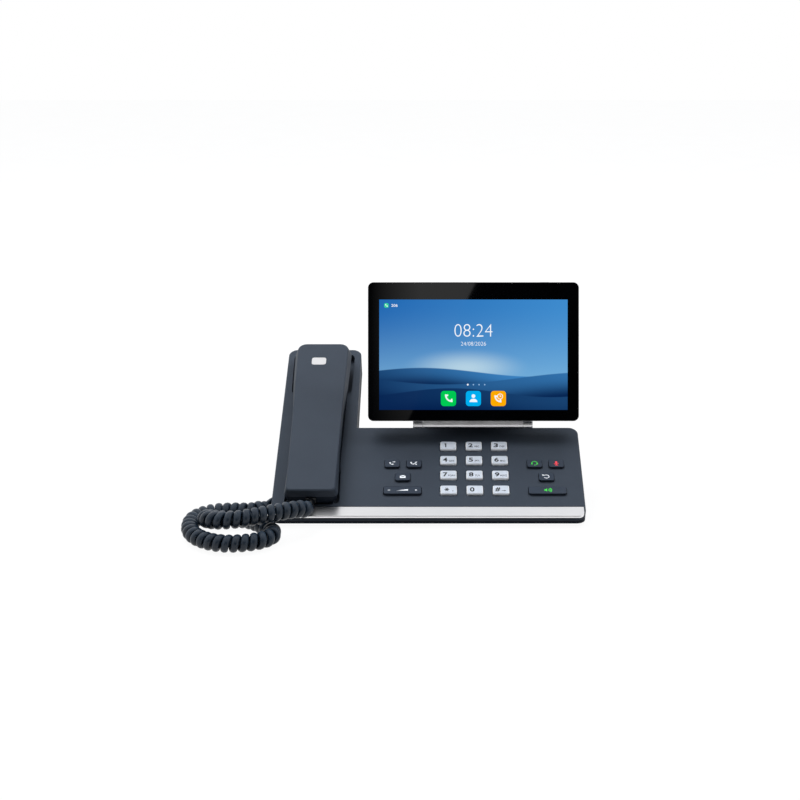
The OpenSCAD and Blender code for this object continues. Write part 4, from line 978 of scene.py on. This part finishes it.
class PHONE_OT_screen(bpy.types.Operator):
    """Lights the screen: its picture, clock, date, page dots and icons"""

    bl_idname = "phone.screen"
    bl_label = "Screen picture"

    def execute(self, context):
        sizes, colours = context.scene.phone_sizes, context.scene.phone_colours
        picture = wave_picture("Screen picture - lit from behind", colours)
        high = sizes.picture_foot + sizes.picture_height / 2
        face = screen_face(0, high)
        made = picture_sheet(sizes.picture_width, sizes.picture_height, face, picture)
        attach(made, "screen")
        white = lit("Screen digits - lit white", hex_colour("#f4f9ff"), 1.0)
        # each text's place across and over the hinge, height, weight and width
        texts = (("clock", "08:24", (0, CLOCK_HEIGHT), sizes.clock, -0.018, 31),
                 ("date", "24/08/2026", (0, DATE_HEIGHT), 3.1 * MM, -0.01, 20.5),
                 ("line_number", "206", (-64.4, STATUS_HEIGHT), 2.3 * MM, 0.01, 5.2))
        pieces = []
        for name, text, (x, z), height, weight, width in texts:
            pieces.append(lettering("screen_" + name, text, screen_face(x * MM, z * MM), height, white,
                                    GLYPH_TOP, weight, width * MM))
        faint = lit("Screen dots - lit pale blue", hex_colour("#8fb6dc"), 1.0)
        for k in range(PAGE_DOTS):
            place = screen_face((-DOT_PITCH + DOT_PITCH * k) * MM, DOT_HEIGHT * MM)
            ink = faint if k else white
            pieces.append(plates(f"screen_dot_{k + 1}", [disc(0.6 if k else 0.75)], place, ink, GLYPH_TOP))
        icons = (
            ("call", "#00c853", [receiver(7.4, (-0.1, -0.1))]),
            ("contacts", "#00aeef", person(7.6, (0, 0.3))),
            ("history", "#ffaa00", [receiver(6.8, (-0.7, -0.6)), arc_band(2.1, 0.5, -90, 90, (1.4, 1.7)),
                                    arc_band(2.1, 0.5, 90, 270, (1.4, 1.7), 16),
                                    stroke((1.4, 1.5), (1.4, 2.9), 0.5),
                                    stroke((1.4, 1.7), (2.4, 1.7), 0.5)]))
        tile = rounded_box(sizes.icon / MM, sizes.icon / MM, 2.6)
        for k, (name, code, shapes) in enumerate(icons):
            place = screen_face((k - 1) * ICON_PITCH * MM, ICON_HEIGHT * MM)
            back = lit(f"Screen icon - lit {name} tile", hex_colour(code), 1.05)
            pieces.append(plates(f"screen_{name}_tile", [tile], place, back, TILE_TOP))
            pieces.append(plates(f"screen_{name}_symbol", shapes, place, white, SYMBOL_TOP))
        status = lit("Screen status - lit green", hex_colour("#38d29a"), 1.05)
        place = screen_face(-71 * MM, STATUS_HEIGHT * MM)
        pieces.append(plates("screen_status", [rounded_box(3.7, 3.7, 1.2)], place, status, TILE_TOP))
        pieces.append(plates("screen_status_symbol", [receiver(2.5)], place, white, SYMBOL_TOP))
        for piece in pieces:
            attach(piece, "screen")
        return {"FINISHED"}


def picture_sheet(width, height, face, material):
    """A thin closed sheet over the glass with a UV map that runs from 0 to 1 across and up."""
    outline = np.array([(-1, -1), (1, -1), (1, 1), (-1, 1)]) * (width / 2, height / 2)
    flat, faces = plate(outline, -SUNK, SHEET_TOP)
    made = new_piece("screen_picture", face.at(flat), faces, material)
    map_flat(made, "picture", flat[:, :2] / (width, height) + 0.5)
    return made


class PHONE_OT_badge(bpy.types.Operator):
    """Sets the bare satin plate into the top of the handset"""

    bl_idname = "phone.badge"
    bl_label = "Handset plate"

    def execute(self, context):
        sizes, colours = context.scene.phone_sizes, context.scene.phone_colours
        satin = satin_metal("Handset plate - satin nickel", tuple(colours.silver), (0.3, 0.4), 0.15)
        face = slope_face(*BADGE_PLACE, HANDSET_FACE)
        width, height = sizes.badge_width / MM, sizes.badge_height / MM
        # two plates with a step between them: each one's inset, corner radius, foot and top
        steps = ((0.0, 2.2, -0.1, 0.12), (0.7, 1.9, 0, 0.2))
        flat, faces = stacked(
            plate(rounded_box(width - inset, height - inset, radius) * MM, low * MM, high * MM)
            for inset, radius, low, high in steps)
        made = new_piece("handset_plate", face.at(flat), faces, satin)
        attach(made, "handset")
        return {"FINISHED"}


class PHONE_OT_contacts(bpy.types.Operator):
    """Fits the gilt spring contacts into the network and headset sockets"""

    bl_idname = "phone.contacts"
    bl_label = "Socket contacts"

    def execute(self, context):
        gilt = satin_metal("Contacts - gilt bronze", hex_colour("#d9b45a"), (0.2, 0.3))
        # each row's middle across the deck, number of wires and the height of its socket's roof
        rows = (("network_contacts_1", 24, 8, -10.4), ("network_contacts_2", 46, 8, -10.4),
                ("headset_contacts", 3, 4, -9.4))
        for name, middle, count, top in rows:
            made = spring_contacts(name, middle, count, top, gilt)
            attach(made, "base")
        return {"FINISHED"}


def spring_contacts(name, middle, count, top, material):
    """A row of bent wires: each hangs from the socket's roof and slants back into it. A ring of four
    corners is carried along the three points of its path, and a lid closes each end."""
    # the path's places up the slope and over the deck, in millimetres
    path = np.array([(92.2, top + 0.1), (99.4, top - 0.2), (93.6, top - 2.6)])
    ring = np.array([(-0.5, 0.5), (0.5, 0.5), (0.5, -0.5), (-0.5, -0.5)]) * (CONTACT_WIDE, CONTACT_THICK)
    faces = [*grid_faces(3, 4), np.arange(4)[::-1], np.arange(4) + 8]
    wires = []
    for u in (np.arange(count) - (count - 1) / 2) * CONTACT_PITCH + middle:
        rows = [np.column_stack([u + ring[:, 0], np.full(4, v), ring[:, 1] + w]) for v, w in path]
        wires.append((np.vstack(rows), faces))
    flat, faces = stacked(wires)
    made = new_piece(name, on_slope(*(flat * MM).T), faces, material)
    close_mesh(made.data)
    return made


# ------------------------------------------------------------------ stage


def plain_rays(tree):
    """One for the rays of camera, gloss and glass, and nought for all others."""
    rays = add(tree, "ShaderNodeLightPath")
    seen = add(tree, "ShaderNodeMath", {0: rays.outputs["Is Camera Ray"], 1: rays.outputs["Is Glossy Ray"]},
               operation="MAXIMUM")
    return add(tree, "ShaderNodeMath", {0: seen, 1: rays.outputs["Is Transmission Ray"]},
               operation="MAXIMUM")


def studio_world(scene):
    """A white surround for the camera, gloss and glass. On the phone it works as a broad light overhead that
    falls off towards the horizon and the viewer, so faces that look at the floor or the viewer stay dark."""
    world = bpy.data.worlds.new("studio")
    tree = bare_tree(world)
    heading = add(tree, "ShaderNodeTexCoord").outputs["Generated"]
    split = add(tree, "ShaderNodeSeparateXYZ", {0: heading})
    rise = add(tree, "ShaderNodeMapRange", {"Value": split.outputs[2], "From Min": 0.1, "From Max": 0.95,
                                            "To Min": 0.04, "To Max": 1.5})
    aside = add(tree, "ShaderNodeMapRange", {"Value": split.outputs[1], "From Min": -0.7, "From Max": 0.2,
                                             "To Min": 0.15, "To Max": 1.0})
    level = add(tree, "ShaderNodeMath", {0: rise, 1: aside}, operation="MULTIPLY")
    light = add(tree, "ShaderNodeBackground", {"Color": hex_colour("#f2f6fb"), "Strength": level})
    backdrop = add(tree, "ShaderNodeBackground", {"Color": (1, 1, 1), "Strength": 1.0})
    mix = add(tree, "ShaderNodeMixShader", {0: plain_rays(tree), 1: light, 2: backdrop})
    add(tree, "ShaderNodeOutputWorld", {"Surface": mix})
    scene.world = world


def studio_floor():
    """A pale tabletop: white to the camera, gloss and glass but for the shadow that it keeps. To them it
    is a share of light of its own, and the rest of it is matt."""
    own_light, own_share = 1.18, 0.8
    made = bpy.data.materials.new("Tabletop - matt white laminate")
    tree = bare_tree(made)
    place = add(tree, "ShaderNodeTexCoord").outputs["Object"]
    tone = add(tree, "ShaderNodeMix", {
        SHARE: uneven(tree, place, 60, 0, 1),
        FROM: hex_colour("#8b8c8e"),
        TO: hex_colour("#959698")}, data_type="RGBA")
    matt = add(tree, "ShaderNodeBsdfDiffuse", {"Color": tone})
    bright = add(tree, "ShaderNodeEmission", {"Color": (1, 1, 1), "Strength": own_light})
    share = add(tree, "ShaderNodeMath", {0: plain_rays(tree), 1: own_share}, operation="MULTIPLY")
    mix = add(tree, "ShaderNodeMixShader", {0: share, 1: matt, 2: bright})
    add(tree, "ShaderNodeOutputMaterial", {"Surface": mix})
    return made


def softbox(name, place, aim, width, height, power):
    """A rectangular lamp at a place, turned to shine at its aim."""
    data = bpy.data.lights.new(name, "AREA")
    data.shape = "RECTANGLE"
    data.size, data.size_y, data.energy = width, height, power
    made = bpy.data.objects.new(name, data)
    made.location = place
    heading = np.array(aim, float) - np.array(place, float)
    level = math.hypot(heading[0], heading[1])
    made.rotation_euler = (math.atan2(level, -heading[2]), 0, math.atan2(-heading[0], heading[1]))
    bpy.context.scene.collection.objects.link(made)
    made.visible_glossy = False


def glare_card():
    """A card behind the camera that only gloss sees, which gives the cover glass its sheen. Its UV map is in
    metres from the camera's axis. It is black to the right of a slanting edge. To the left its grey sinks
    towards the card's left end and its foot."""
    edge_lean, edge_foot = 0.491, -0.0361
    made = bpy.data.materials.new("Studio card - graded grey paper")
    tree = bare_tree(made)
    split = add(tree, "ShaderNodeSeparateXYZ", {0: add(tree, "ShaderNodeUVMap", uv_map="card")})
    edge = add(tree, "ShaderNodeMath", {0: split.outputs[1], 1: edge_lean, 2: edge_foot},
               operation="MULTIPLY_ADD")
    beyond = add(tree, "ShaderNodeMath", {0: edge, 1: split.outputs[0]}, operation="SUBTRACT")
    fade = add(tree, "ShaderNodeMapRange", {"Value": split.outputs[0], "From Min": -0.112, "From Max": -0.03,
                                            "To Min": 0.03, "To Max": 1.0})
    fall = add(tree, "ShaderNodeMapRange", {"Value": split.outputs[1], "From Min": -0.06, "From Max": 0.15,
                                            "To Min": 0.25, "To Max": 1.0})
    grey = add(tree, "ShaderNodeMath", {0: fade, 1: fall}, operation="MULTIPLY")
    side = add(tree, "ShaderNodeMath", {0: beyond, 1: 0.0}, operation="GREATER_THAN")
    light = add(tree, "ShaderNodeMath", {0: grey, 1: side}, operation="MULTIPLY")
    paper = add(tree, "ShaderNodeEmission", {"Color": (1, 1, 1), "Strength": light})
    add(tree, "ShaderNodeOutputMaterial", {"Surface": paper})
    up = (0, math.sin(CAMERA_ELEVATION), math.cos(CAMERA_ELEVATION))
    back = np.array((0, -math.cos(CAMERA_ELEVATION), math.sin(CAMERA_ELEVATION)))
    card_outline = np.array([(-700, -300), (700, -300), (700, 500), (-700, 500)]) * MM
    flat, faces = plate(card_outline, 0, 1 * MM)
    face = Face(np.array(CAMERA_PLACE) + back * CARD_BEHIND, (1, 0, 0), up)
    card = new_piece("glare_card", face.at(flat), faces, made)
    map_flat(card, "card", flat)
    card.visible_camera = False
    card.visible_diffuse = False
    card.visible_shadow = False
    card.visible_transmission = False
    return card


class PHONE_OT_stage(bpy.types.Operator):
    """Sets up the pale table, the white surround and the soft lamps"""

    bl_idname = "phone.stage"
    bl_label = "Stage"

    def execute(self, context):
        studio_world(context.scene)
        under = Face((0, 0, -TABLE_THICK), (1, 0, 0), (0, 1, 0))
        floor = plates("tabletop", [rounded_box(6000, 6000, 500)], under, studio_floor(), TABLE_THICK, 0)
        glare_card()
        for name, place, width, height, power in LAMPS:
            softbox(name, place, LAMP_AIM, width, height, power)
        return {"FINISHED"}


class PHONE_PT_panel(bpy.types.Panel):
    """Lists the phone's sizes, colours and pieces"""

    bl_idname = "PHONE_PT_panel"
    bl_label = "Desk phone"
    bl_space_type = "VIEW_3D"
    bl_region_type = "UI"
    bl_category = "Desk phone"

    def draw(self, context):
        layout = self.layout
        for group in (context.scene.phone_sizes, context.scene.phone_colours):
            box = layout.box()
            for name in group.__annotations__:
                box.prop(group, name)
        for piece in PIECES:
            layout.operator(piece.bl_idname)


PIECES = (PHONE_OT_camera, PHONE_OT_cord, PHONE_OT_finishes, PHONE_OT_dial_print, PHONE_OT_symbols,
          PHONE_OT_screen, PHONE_OT_badge, PHONE_OT_contacts, PHONE_OT_stage)
CLASSES = (PhoneSizes, PhoneColours, *PIECES, PHONE_PT_panel)


def register():
    """Registers the property groups, operators and panel, and hangs the groups on the scene."""
    for made in CLASSES:
        bpy.utils.register_class(made)
    bpy.types.Scene.phone_sizes = bpy.props.PointerProperty(type=PhoneSizes)
    bpy.types.Scene.phone_colours = bpy.props.PointerProperty(type=PhoneColours)


def unregister():
    """Takes the groups off the scene and undoes the registering in reverse."""
    del bpy.types.Scene.phone_colours
    del bpy.types.Scene.phone_sizes
    for made in reversed(CLASSES):
        bpy.utils.unregister_class(made)


def main():
    """Makes every piece in order."""
    register()
    bpy.ops.phone.camera()
    bpy.ops.phone.cord()
    bpy.ops.phone.finishes()
    bpy.ops.phone.dial_print()
    bpy.ops.phone.symbols()
    bpy.ops.phone.screen()
    bpy.ops.phone.badge()
    bpy.ops.phone.contacts()
    bpy.ops.phone.stage()


if __name__ == "__main__":
    main()
